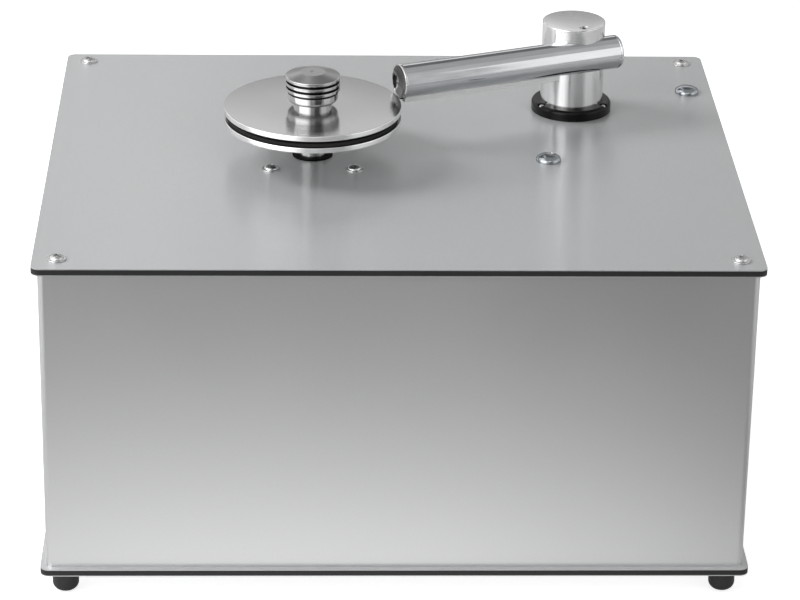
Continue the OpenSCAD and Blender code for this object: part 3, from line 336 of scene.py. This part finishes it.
def felt(name, tone):
    """Pressed felt: short fibres in tone and height, no gloss."""
    f = Finish(name)
    fibre = f.noise(f.stretch(f.place(), (900.0, 1400.0, 1400.0)), 1.0, 4, 0.7)
    colour = f.tint(fibre, grey(tone * 0.76, -0.005), grey(tone * 1.04, 0.005))
    return f.part(Base_Color=colour, Roughness=0.95, Normal=f.bump(fibre, 0.00015, 0.7))


FINISHES = {
    "plate_skin": satin_sheet("plate_skin_satin", 0.70, 0.014, 0.10, 0.2, brushed=1.3, metal=0.25),
    "plate_core": dark_plastic("plate_core_black", 0.012, 0.5),
    "body_sheet": satin_sheet("body_sheet_satin", 0.56, 0.004, 0.22, 0.36),
    "post_metal": plain_metal("post_extrusion", 0.5, 0.4, grain=300.0),
    "screw_steel": plain_metal("screw_bright", 0.52, 0.26),
    "bolt_zinc": plain_metal("bolt_zinc", 0.34, 0.13, 0.05),
    "foot_rubber": dark_plastic("foot_rubber", 0.02, 0.55, 900.0, 0.00006),
    "bush_plastic": dark_plastic("bush_black", 0.002, 0.6, shine=0.08),
    # rim paints the edges of the platter and clamp discs light grey: a painted highlight.
    "turned_metal": turned_metal("turned_platter", 0.46, 0.12, 0.35, SPINDLE, rim=0.0496),
    "arm_metal": turned_metal("turned_pillar", 0.68, 0.12, 0.3, PILLAR),
    # The plug's dish gets painted shade: a near black tone in its hollow.
    "plug_metal": plug_with_painted_shade("plug_polished_painted_shade", 0.12, 0.7),
    "spindle_steel": turned_metal("turned_steel", 0.45, 0.2, 0.1, SPINDLE),
    "mat_rubber": dark_plastic("mat_rubber", 0.016, 0.8, 2600.0, 0.0001, shine=0.2),
    "strip_felt": felt("strip_felt", 0.95),
    "ring_plastic": dark_plastic("ring_black", 0.003, 0.22, 1200.0, 0.00001, shine=0.14),
    "washer_plastic": dark_plastic("washer_white", 0.6, 0.5),
    "black_steel": plain_metal("steel_blackened", 0.05, 0.35),
    "gear_case": dark_plastic("gear_case_paint", 0.05, 0.5, 500.0, 0.0001),
    "motor_case": plain_metal("motor_plated", 0.4, 0.35, 0.02, 200.0),
    "housing_plastic": dark_plastic("housing_black", 0.02, 0.5),
    "tank_plastic": dark_plastic("tank_milky", 0.6, 0.4, 300.0, 0.00005),
    "hose_rubber": dark_plastic("hose_black", 0.02, 0.6),
    "fan_plastic": dark_plastic("fan_grey", 0.12, 0.4),
    "switch_plastic": dark_plastic("switch_black", 0.01, 0.3, 900.0, 0.00002),
    "inlet_plastic": dark_plastic("inlet_black", 0.012, 0.45, 900.0, 0.00004),
    "pin_metal": plain_metal("pin_nickel", 0.5, 0.25, -0.02),
    "board_laminate": dark_plastic("board_green", 0.05, 0.4),
    "can_metal": plain_metal("can_satin", 0.5, 0.35),
}
# The knob's grooves are painted near black inside: painted shade.
KNOB_FINISH = turned_metal("turned_knob", 0.5, 0.1, 0.14, SPINDLE, band=0.5,
                           grooves=(0.01505, KNOB_Z + 0.0079, KNOB_Z + 0.01595),
                           face=(0.0149, KNOB_Z + 0.0176))
SEAL_FINISH = dark_plastic("seal_rubber", 0.004, 0.8, 2600.0, 0.0001, shine=0.05)
TUBE_FINISH = drawn_metal("tube_drawn", 0.56, 0.1, 0.8)

node_slot = {s["node"]: s["material_slot"] for s in frame["record"]["subparts"]}
body_of = {n: b for b, ns in frame["record"]["behaviour"]["bodies"].items() for n in ns}


def dress(piece, finish):
    """One finish on the whole piece."""
    piece.data.materials.clear()
    piece.data.materials.append(finish)


def own_finish(node):
    """The finish of a node: that of its slot, but for the tube and the cap on its tail."""
    return TUBE_FINISH if node in ("arm_tube", "tail_cap") else FINISHES[node_slot[node]]


for name, piece in frame["nodes"].items():
    dress(piece, own_finish(name))


# ---- surfaces --------------------------------------------------------------------------------

def finish_piece(piece, node, finish, crease):
    """Joins doubled vertices, smooths between creases sharper than crease degrees, and sets the
    piece, in its own finish or the node's, in the node's place."""
    work = bmesh.new()
    work.from_mesh(piece.data)
    bmesh.ops.remove_doubles(work, verts=work.verts, dist=2e-6)
    bmesh.ops.recalc_face_normals(work, faces=work.faces)
    work.to_mesh(piece.data)
    work.free()
    piece.data.shade_smooth()
    piece.data.set_sharp_from_angle(angle=math.radians(crease))
    dress(piece, finish or own_finish(node))
    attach(piece, body_of[node])
    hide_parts(node)


def new_piece(node, points, faces, finish=None, crease=35, tail="_skin"):
    """A mesh piece from arrays that stands for a node. Its name is the node's with a tail."""
    mesh = bpy.data.meshes.new(node + tail)
    mesh.from_pydata(points.reshape(-1, 3).tolist(), [], faces)
    mesh.validate()
    finish_piece(add_object(node + tail, mesh), node, finish, crease)


def merged_copy(node):
    """The solid's own mesh, its loose triangles joined and shaded smooth between creases."""
    piece = add_object(node + "_skin", frame["nodes"][node].data.copy())
    finish_piece(piece, node, None, 30)
    even = piece.modifiers.new("even", "WEIGHTED_NORMAL")
    even.keep_sharp = True


def grid_faces(rows, columns, wrap=True):
    """Quads between neighbouring rows of a grid whose columns close on themselves when wrap is
    set."""
    r, c = np.meshgrid(np.arange(rows - 1), np.arange(columns if wrap else columns - 1),
                       indexing="ij")
    n = (c + 1) % columns
    return np.stack([r * columns + c, r * columns + n, (r + 1) * columns + n,
                     (r + 1) * columns + c], -1).reshape(-1, 4).tolist()


def eased(profile, radii, steps):
    """The profile with each inner corner replaced by an ease: a quadratic curve between the two
    points at the given distance from the corner. A distance of 0 keeps the corner."""
    profile = [np.array(p, float) for p in profile]
    out = [profile[0]]
    for a, b, c, r in zip(profile, profile[1:], profile[2:], radii):
        d0, d1 = np.linalg.norm(a - b), np.linalg.norm(c - b)
        cut = min(r, 0.45 * d0, 0.45 * d1)
        if cut <= 0:
            out.append(b)
            continue
        p, q = b + (a - b) / d0 * cut, b + (c - b) / d1 * cut
        t = np.linspace(0, 1, steps + 1)[:, None]
        out.extend((1 - t) ** 2 * p + 2 * t * (1 - t) * b + t ** 2 * q)
    out.append(profile[-1])
    return np.array(out)


def ellipse_arc(centre, width, height, start, end, count):
    """Points of an ellipse: at angle t, width cos t and height sin t from the centre."""
    t = np.radians(np.linspace(start, end, count))
    return np.stack([centre[0] + width * np.cos(t), centre[1] + height * np.sin(t)], 1)


def spun(node, profile, centres, finish=None, turn=None, steps=96, shape=None, crease=35,
         tail="_skin"):
    """Surfaces of revolution, one at each centre: point (r, z) of the profile at angle a lies at
    (r cos a, r sin a, z). shape(r, a, row) may change the radius, and turn places the result."""
    profile = np.asarray(profile, float)
    angle = np.linspace(0, 2 * np.pi, steps, endpoint=False)
    r = np.repeat(np.maximum(profile[:, :1], 0), steps, 1)
    if shape:
        r = shape(r, angle[None, :], np.arange(len(profile))[:, None])
    points = np.stack([r * np.cos(angle), r * np.sin(angle), np.repeat(profile[:, 1:], steps, 1)],
                      -1)
    if turn is not None:
        points = points @ np.array(turn).T
    centres = np.atleast_2d(np.array(centres, float))
    points = points[None] + centres[:, None, None, :]
    one = np.array(grid_faces(len(profile), steps))
    first = np.arange(len(centres)) * len(profile) * steps
    faces = (one[None] + first[:, None, None]).reshape(-1, 4).tolist()
    new_piece(node, points, faces, finish, crease, tail)


def hexed(across, rows):
    """Shape that turns the named rows into a hexagon: its radius at angle a is half the width
    across flats over the cosine of the angle to the nearest flat's middle."""
    def shape(r, a, row):
        flat = across / 2 / np.cos((a + np.pi / 6) % (np.pi / 3) - np.pi / 6)
        return np.where(np.isin(row, rows), np.broadcast_to(flat, r.shape), r)
    return shape


def button_screws(node, head_d, head_h, shank_r, shank_l, across, centres):
    """Flanged button heads with hex sockets: shank, thin flange, dome of an ellipse's quarter, cut
    off at 70 degrees, and a six-sided socket down to the flange. The numbers are in
    millimetres, and the centres, under the flanges, in metres."""
    rim, dome, cut = 0.3 * head_h, 0.37 * head_d, 70
    head = eased([(shank_r, 0), (head_d / 2, 0), (head_d / 2, rim), (dome + 0.1, rim)],
                 (0.15, 0.3), 4)
    arch = ellipse_arc((0, rim), dome, head_h - rim, 0, cut, 9)
    profile = [(0, -shank_l), (shank_r - 0.4, -shank_l), (shank_r, 0.4 - shank_l)] \
        + head.tolist() + arch.tolist()
    first = len(profile)
    mouth = rim + (head_h - rim) * math.sin(math.radians(cut))
    profile += [(across / 2 + 0.15, mouth), (across / 2, mouth - 0.15), (across / 2, rim), (0, rim)]
    spun(node, np.array(profile) * MM, centres, steps=48,
         shape=hexed(across * MM, (first + 1, first + 2)), crease=30, tail="")


# ---- stage -----------------------------------------------------------------------------------

ALL_RAYS = ("camera", "diffuse", "glossy", "shadow")


def panel(name, centre, size, normal, material, rays):
    """Flat rectangle of the studio, seen only by the named kinds of ray."""
    mesh = bpy.data.meshes.new(name)
    w, h = size[0] / 2, size[1] / 2
    turn = Vector(normal).to_track_quat("Z", "Y").to_matrix()
    corners = [turn @ Vector((sx * w, sy * h, 0)) + Vector(centre)
               for sx, sy in ((-1, -1), (1, -1), (1, 1), (-1, 1))]
    mesh.from_pydata([tuple(c) for c in corners], [], [(0, 1, 2, 3)])
    flat = add_object(name, mesh)
    dress(flat, material)
    for kind in ALL_RAYS:
        setattr(flat, "visible_" + kind, kind in rays)
    flat.visible_transmission = "camera" in rays


def seen(f):
    """1 for rays that show the background itself, straight, mirrored or through glass."""
    path = f.node("LightPath").socket.node.outputs
    return (Wire(f.tree, path["Is Camera Ray"]) + Wire(f.tree, path["Is Glossy Ray"])
            + Wire(f.tree, path["Is Transmission Ray"])).clamp()


def floor_finish():
    """Pale floor that keeps shadows, lifted to white for the rays that show it."""
    f = Finish("floor_pale")
    matt = f.node("BsdfDiffuse", Color=grey(0.8))
    camera = Wire(f.tree, f.node("LightPath").socket.node.outputs["Is Camera Ray"])
    glow = f.node("Emission", Color=grey(1.0), Strength=seen(f) * 0.3 + camera * 0.5)
    plug(f.tree, f.out.inputs[0], f.node("AddShader", i0=matt, i1=glow))
    return f.owner


def card(name, centre, size, normal, level):
    """Card that only gloss shows, evenly lit, or lit to a level that is a function of its place.
    A level of 1 is white."""
    f = Finish(name)
    if callable(level):
        level = level(*f.axes(f.place()))
    plug(f.tree, f.out.inputs[0], f.node("Emission", Color=grey(1.0), Strength=level))
    panel(name, centre, size, normal, f.owner, ("glossy",))


def reflector(name, az, el, distance, level):
    """Card round the object that spans az[0] to az[1] degrees from the front to the right, and
    el[0] to el[1] degrees above the top plate."""
    a, e = (math.radians(sum(span) / 2) for span in (az, el))
    away = Vector((math.sin(a) * math.cos(e), -math.cos(a) * math.cos(e), math.sin(e)))
    size = (2 * distance * math.tan(math.radians(az[1] - az[0]) / 2),
            2 * distance * math.tan(math.radians(el[1] - el[0]) / 2))
    card(name, away * distance + Vector((0, 0, 0.2)), size, -away, level)


def soft_lamp(name, centre, size, level):
    """Rectangular soft box for the matt surfaces, its face shining at the given level, 1 being
    white. It points at the middle of the machine."""
    data = bpy.data.lights.new(name, "AREA")
    data.shape = "RECTANGLE"
    data.size, data.size_y = size
    data.energy = level * math.pi * size[0] * size[1]
    lamp = add_object(name, data)
    lamp.location = centre
    ahead = Vector((0, 0, 0.15)) - Vector(centre)
    lamp.rotation_euler = ahead.to_track_quat("-Z", "Y").to_euler()
    lamp.visible_glossy = False


def azimuth(x, y):
    """Direction in plan from the front, in degrees, to the right above 0."""
    return x.math("ARCTAN2", x, 0.0 - y) * (180 / math.pi)


def floor_level(x, y, z):
    """The floor in front, as the front sheet mirrors it: darker away from the machine and to both
    sides, more so on the right."""
    along = (1.34 + (y + 0.22) * 3.4).clamp(0.06, 1.34)
    return along * (0.88 - x * 0.75 - x * x * 4.6).clamp(0.2, 1.2)


def flag_level(x, y, z):
    """The dark stripe down the middle of turned pieces, its left border soft."""
    return ((12.0 - azimuth(x, y)) * 0.06).clamp(0.0, 0.9) + 0.12


def left_level(x, y, z):
    """The white stripe on the left of turned pieces, fading to the flag."""
    return ((-9.0 - azimuth(x, y)) / 22.0).clamp() * 3.6 + 0.6


def right_level(x, y, z):
    """The light stripe on the right of turned pieces: it starts at a sharp border that leans to
    the right higher up, and ends towards the ceiling."""
    lean = (z - 0.235).clamp(0.0, 9.0) ** 1.58 * 5.8
    beyond = ((azimuth(x, y) - lean - 47.55) / 0.6).clamp()
    return beyond * ((0.86 - (z - 0.2) / (x * x + y * y) ** 0.5) * 12.0).clamp() * 0.76 + 0.7


def ceiling_level(x, y, z):
    """The ceiling, brighter to the left."""
    return ((0.0 - x - 0.3) * 1.6).clamp(0.0, 1.6) + 0.54


def back_high_level(x, y, z):
    """High behind the machine: dim, brighter far to the right, and with a bright patch in line
    with the platter."""
    patch = (1.0 - ((x + 0.25) * (x + 0.25)) ** 0.5 * 6.0).clamp()
    return ((x - 0.7) * 0.5).clamp(0.0, 0.3) + 0.22 + patch * 1.4


def back_level(x, y, z):
    """The wall that the plate mirrors: darker to the right and lower down."""
    return (1.15 - x * 0.2 + (z - 1.7) * 0.9).clamp(0.4, 1.6)


def build_stage():
    """White studio: world, floor, cards for the gloss and lamps for the rest."""
    world = Finish("studio", world=True)
    level = seen(world) * 0.75 + 0.25
    shine = world.node("Background", Color=grey(1.0), Strength=level)
    plug(world.tree, world.out.inputs[0], shine)
    bpy.context.scene.world = world.owner
    panel("floor", (0, 0, -0.0002), (12, 12), (0, 0, 1), floor_finish(), ALL_RAYS)
    card("card_front_floor", (0.0, -0.58, 0.001), (0.8, 0.84), (0, 0, 1), floor_level)
    reflector("card_front", (-60, 60), (4, 60), 2.6, 1.8)
    reflector("card_flag", (-4, 42), (2, 35), 2.2, flag_level)
    reflector("card_left", (-88, -4), (4, 50), 1.7, left_level)
    reflector("card_right", (41, 85), (-5, 60), 1.7, right_level)
    reflector("card_left_back", (-135, -88), (4, 50), 1.8, 1.4)
    card("card_ceiling", (0, 0, 2.6), (5.0, 2.8), (0, 0, -1), ceiling_level)
    card("card_back_high", (0, 1.77, 2.12), (5.0, 1.22), (0, -0.79, -0.61), back_high_level)
    card("card_back", (0, 3.0, 0.9), (7.0, 2.2), (0, -1, 0), back_level)
    soft_lamp("soft_left", (-1.5, -1.0, 0.9), (0.9, 1.3), 2.2)
    soft_lamp("soft_right", (1.2, -1.35, 0.9), (0.5, 1.3), 1.6)
    soft_lamp("soft_back", (-1.6, 0.5, 1.5), (0.8, 0.8), 10.8)


build_stage()


# ---- platter, clamp, bush, screws and bolts --------------------------------------------------

def ring_profile(radius, hole, thick, ease, steps):
    """Profile of a flat ring with eased edges on its rim. It closes on the underside."""
    seam = 20
    return eased([(seam, 0), (radius, 0), (radius, thick), (seam, thick), (hole, thick),
                  (hole, 0), (seam, 0)], (ease, ease, 0, 0, 0), steps) * MM


def knob_profile():
    """Profile of the knob from its bore, round the spigot and foot, up the grooved side to the
    dimple on top. The foot's edge is a quarter of an ellipse, and ribs have broken corners."""
    rib, groove, waist, pitch = 15.3, 13.6, 14.2, 3.2
    foot = ellipse_arc((10.9, 5.0), 3.3, 2.5, -90, 0, 16)
    side = []
    for i, low_edge in enumerate((8.0, 8.0 + pitch, 8.0 + 2 * pitch)):
        low = waist if i == 0 else rib
        side += [(low, low_edge), (groove, low_edge), (groove, low_edge + 1.5),
                 (rib, low_edge + 1.5)]
    cap = [(rib, 17.6), (7.0, 19.7), (1.6, 19.7), (0, 19.2)]
    upper = eased([foot[-1]] + side + cap, [0.15, 0, 0, 0.15] * 3 + [0.3, 0.12, 0.15], 5)
    bore = [(0, 13.3), (3.6, 13.3), (3.6, -3), (6, -3), (6, 0), (10.9, 0)]
    return np.concatenate([bore, foot, upper]) * MM


def build_platter():
    """Turned discs, rubber rings whose tops lie a hair below the next piece, knob, hub and bush."""
    for node, z in (("platter_disc", PLATTER_Z), ("clamp_disc", CLAMP_Z)):
        spun(node, ring_profile(49.8, 6.05, 3, 0.4, 6), (*SPINDLE, z), steps=256, crease=30)
    for node, z, hole, finish in (("platter_mat", MAT_Z, 3.85, None),
                                  ("clamp_seal", SEAL_Z, 8.0, SEAL_FINISH)):
        spun(node, ring_profile(48, hole, 1.88, 0.3, 4), (*SPINDLE, z), finish=finish, steps=192)
    spun("clamp_knob", knob_profile(), (*SPINDLE, KNOB_Z), finish=KNOB_FINISH, steps=256, crease=8)
    merged_copy("platter_hub")
    bush = eased([(8.25, 0.6), (11.4, 0.6), (11.4, 0), (10.4, 0), (10.4, -9), (8.25, -9),
                  (8.25, 0.6)], (0.3, 0, 0, 0.3, 0), 4)
    spun("spindle_bush", bush * MM, (*SPINDLE, TOP), steps=160)


def build_fasteners():
    """Plate screws, flange screws and dome bolts, each kind one piece as in the solids."""
    button_screws("plate_screws", 10.4, 2.75, 2.0, 14.0, 2.5,
                  [(x, y, TOP) for x, y in CORNERS + MOTOR_SCREWS])
    button_screws("flange_screws", 4.0, 1.5, 1.25, 12.0, 1.5,
                  [(x, y, TOP + FLANGE_SEAT * MM) for x, y in FLANGE_SCREWS])
    shank = [(0, -48), (2.6, -48), (3, -47.6), (3, 0), (6.9, 0), (7.1, 0.2)]
    bolt = np.concatenate([shank, ellipse_arc((0, 0.9), 7.1, 3.2, 0, 90, 19)]) * MM
    spun("tank_bolts", bolt, [(x, y, TOP) for x, y in DOME_BOLTS])


build_platter()
build_fasteners()


# ---- arm -------------------------------------------------------------------------------------

def arm_frame(x, y, z):
    """Points of the arm's own frame, X along the tube and the origin on the pillar's axis at the
    top plate, turned and moved into the machine's frame."""
    return np.stack([PILLAR[0] + ARM_COS * x - ARM_SIN * y, PILLAR[1] + ARM_SIN * x + ARM_COS * y,
                     TOP + z], -1)


def build_pillar():
    """Pillar and stem as one grid of angle a round the axis and of rows from the bore below to the
    set screw's hole on top. The side at angle a is at (R cos a, R sin a). The cross bore of radius
    b about the line y = -d, z = h takes from it the part below and above h by b sin t, where
    cos t = (R sin a + d) / b, and between the two edges the rows follow the bore's own circle. The
    set screw is spun by itself."""
    radius, bore, d, h = 18.2, 9.75, TUBE_OFFSET / MM, (TUBE_Z - TOP) / MM
    bottom, top, edge = 1.5, 53.6, 0.5
    hole, chamfer, seat = 2.55, 0.2, 46.0
    a = np.linspace(0, 2 * np.pi, 320, endpoint=False)
    t = np.arccos(np.clip((radius * np.sin(a) + d) / bore, -1, 1))

    def ring(r, z, shift=0.0):
        return np.stack([r * np.cos(a), r * np.sin(a) - shift, z + 0 * a], -1)

    below = [(0, 20), (9, 20), (9, -51.9), (14, -51.9), (14, -49.9), (13, -49.9), (13, -48.8),
             (14, -48.8), (14, 1), (radius - edge, 1), (radius, bottom)]
    rows = [ring(r, z) for r, z in below]
    low, high = h - bore * np.sin(t), h + bore * np.sin(t)
    rows += [ring(radius, bottom + (low - bottom) * k) for k in (0.5, 1.0)]
    for k in np.linspace(-1, 1, 17):
        arc = np.stack([radius * np.cos(a), bore * np.cos(k * t) - d, h + bore * np.sin(k * t)], -1)
        rows.append(np.where((t > 0)[:, None], arc, ring(radius, h + 0 * a)))
    rows += [ring(radius, high + (top - high) * k) for k in (0.0, 0.5, 1.0)]
    rows += [ring(radius - edge + edge * math.cos(e), top + edge * math.sin(e))
             for e in np.radians([15, 30, 45, 60, 75, 90])]
    rows += [ring(hole + chamfer, top + edge, d), ring(hole, top + edge - chamfer, d),
             ring(hole, seat, d), ring(0, seat, d)]
    grid = np.array(rows) * MM
    points = arm_frame(grid[..., 0], grid[..., 1], grid[..., 2])
    new_piece("arm_pillar", points, grid_faces(len(rows), len(a)), crease=28)
    screw = [(0, 46.8), (2.3, 46.8), (2.5, 47), (2.5, 53.2), (2.2, 53.5), (1.6, 53.5),
             (1.45, 53.4), (1.45, 51.6), (0, 51.6)]
    spun("arm_set_screw", np.array(screw) * MM, arm_frame(0.0, -d * MM, 0.0), steps=48,
         shape=hexed(2.5 * MM, (6, 7)), crease=28)


def build_tube_ends():
    """Plug in the tip, its lip proud of the tube and its face a dish cut from a sphere, and cap on
    the tail. Both turn about the tube's axis, the profile's z running from tip to tail."""
    along = [(0, ARM_SIN, ARM_COS), (0, -ARM_COS, ARM_SIN), (1, 0, 0)]
    rim, dish, lip = 9.3, 3.4, 10.4
    ball = (rim * rim + dish * dish) / (2 * dish)
    t = np.linspace(0, math.asin(rim / ball), 25)
    face = np.stack([ball * np.sin(t), dish - ball * (1 - np.cos(t))], 1)
    edge = eased([face[-1], (rim + 0.2, 0), (lip, 0), (lip, 1.3), (8.2, 1.3)], (0.1, 0.5, 0.1), 6)
    plug_side = np.concatenate([face, edge[1:], [(7.95, 1.3), (7.95, 9), (0, 9)]])
    collar = [(0, -6), (7.25, -6), (7.25, 0), (9.4, 0), (9.4, 0.5), (9.6, 0.5), (9.7, 0.6)]
    cap_side = np.concatenate([collar, ellipse_arc((8.3, 1.1), 1.4, 1.4, 0, 90, 13), [(0, 2.5)]])
    for node, side, reach in (("tip_plug", plug_side, -116.3), ("tail_cap", cap_side, 19.7)):
        spun(node, side * MM, arm_frame(reach * MM, -TUBE_OFFSET, TUBE_Z - TOP), turn=along,
             steps=160, crease=32)


def build_flange_ring():
    """Ring with a rounded outer edge and three sunk screws. Its top is swept by angle a and by the
    length w across it, first flat and then round the quarter circle of the edge. Between screws the
    top is a plain grid in a and w. Round a screw it is a grid from the recess's circle out to a
    rectangle in a and w, and further in lie the recess's wall, floor and hole."""
    inner, outer, height, edge = 18.25, 23.25, 6.0, 2.3
    sink, hole_r, hole_z = 2.2, 1.3, 0.05
    at, seat = FLANGE_CIRCLE, FLANGE_SEAT
    flat = outer - edge - inner
    full = flat + edge * math.pi / 2
    n, m, half = 24, 48, math.radians(11)

    def top(a, w):
        a, w = np.broadcast_arrays(a, w)
        bend = np.maximum(w - flat, 0) / edge
        r = np.where(w < flat, inner + w, outer - edge + edge * np.sin(bend))
        return np.stack([r * np.cos(a), r * np.sin(a), height - edge + edge * np.cos(bend)], -1)

    def flatten(points, z):
        return np.concatenate([points[..., :2], np.full(points.shape[:-1] + (1,), z)], -1)

    across, step = np.linspace(0, full, n + 1), np.linspace(-half, half, n + 1)
    grids, turns = [], []
    for screw, following in zip(FLANGE_ANGLES,
                                np.append(FLANGE_ANGLES[1:], FLANGE_ANGLES[0] + 2 * np.pi)):
        side_a = np.concatenate([step[:-1], np.full(n, half), -step[:-1], np.full(n, -half)])
        side_w = np.concatenate([np.zeros(n), across[:-1], np.full(n, full), across[::-1][:-1]])
        out = top(side_a, side_w)
        v = np.arctan2(out[:, 1], out[:, 0] - at)
        x, y = at + sink * np.cos(v), sink * np.sin(v)
        r = np.hypot(x, y)
        sink_w = np.where(r < inner + flat, r - inner,
                          flat + edge * np.arcsin(np.clip((r - outer + edge) / edge, 0, 1)))
        k = np.linspace(0, 1, 8)[:, None]
        patch = top(screw + (1 - k) * np.arctan2(y, x) + k * side_a, (1 - k) * sink_w + k * side_w)
        middle = np.array([at * math.cos(screw), at * math.sin(screw), 0])
        spoke = flatten(patch[0] - middle, 0.0) / sink
        hole = [flatten(middle + spoke * r, z)
                for r, z in ((0, hole_z), (hole_r, hole_z), (hole_r, seat))]
        grids.append((np.array(hole + [flatten(patch[0], seat)] + list(patch)), True))
        gap = np.linspace(screw + half, following - half, m + 1)
        grids.append((top(gap[None, :], across[:, None]), False))
        turns += [screw + step[:-1], gap[:-1]]
    a = np.concatenate(turns)
    rim = np.array([(inner, height), (inner, 0), (outer, 0), (outer, height - edge)])
    grids.append((np.stack([rim[:, :1] * np.cos(a), rim[:, :1] * np.sin(a),
                            np.repeat(rim[:, 1:], len(a), 1)], -1), True))
    points, faces, count = [], [], 0
    for grid, wrap in grids:
        faces += (np.array(grid_faces(*grid.shape[:2], wrap)) + count).tolist()
        points.append(grid.reshape(-1, 3))
        count += len(points[-1])
    new_piece("flange_ring", np.concatenate(points) * MM + (*PILLAR, TOP), faces, crease=25)


build_pillar()
build_tube_ends()
build_flange_ring()


# ---- smoothed copies -------------------------------------------------------------------------

for node in ("arm_tube", "feet", "body_shell"):
    merged_copy(node)


bpy.context.scene.view_settings.view_transform = "Standard"
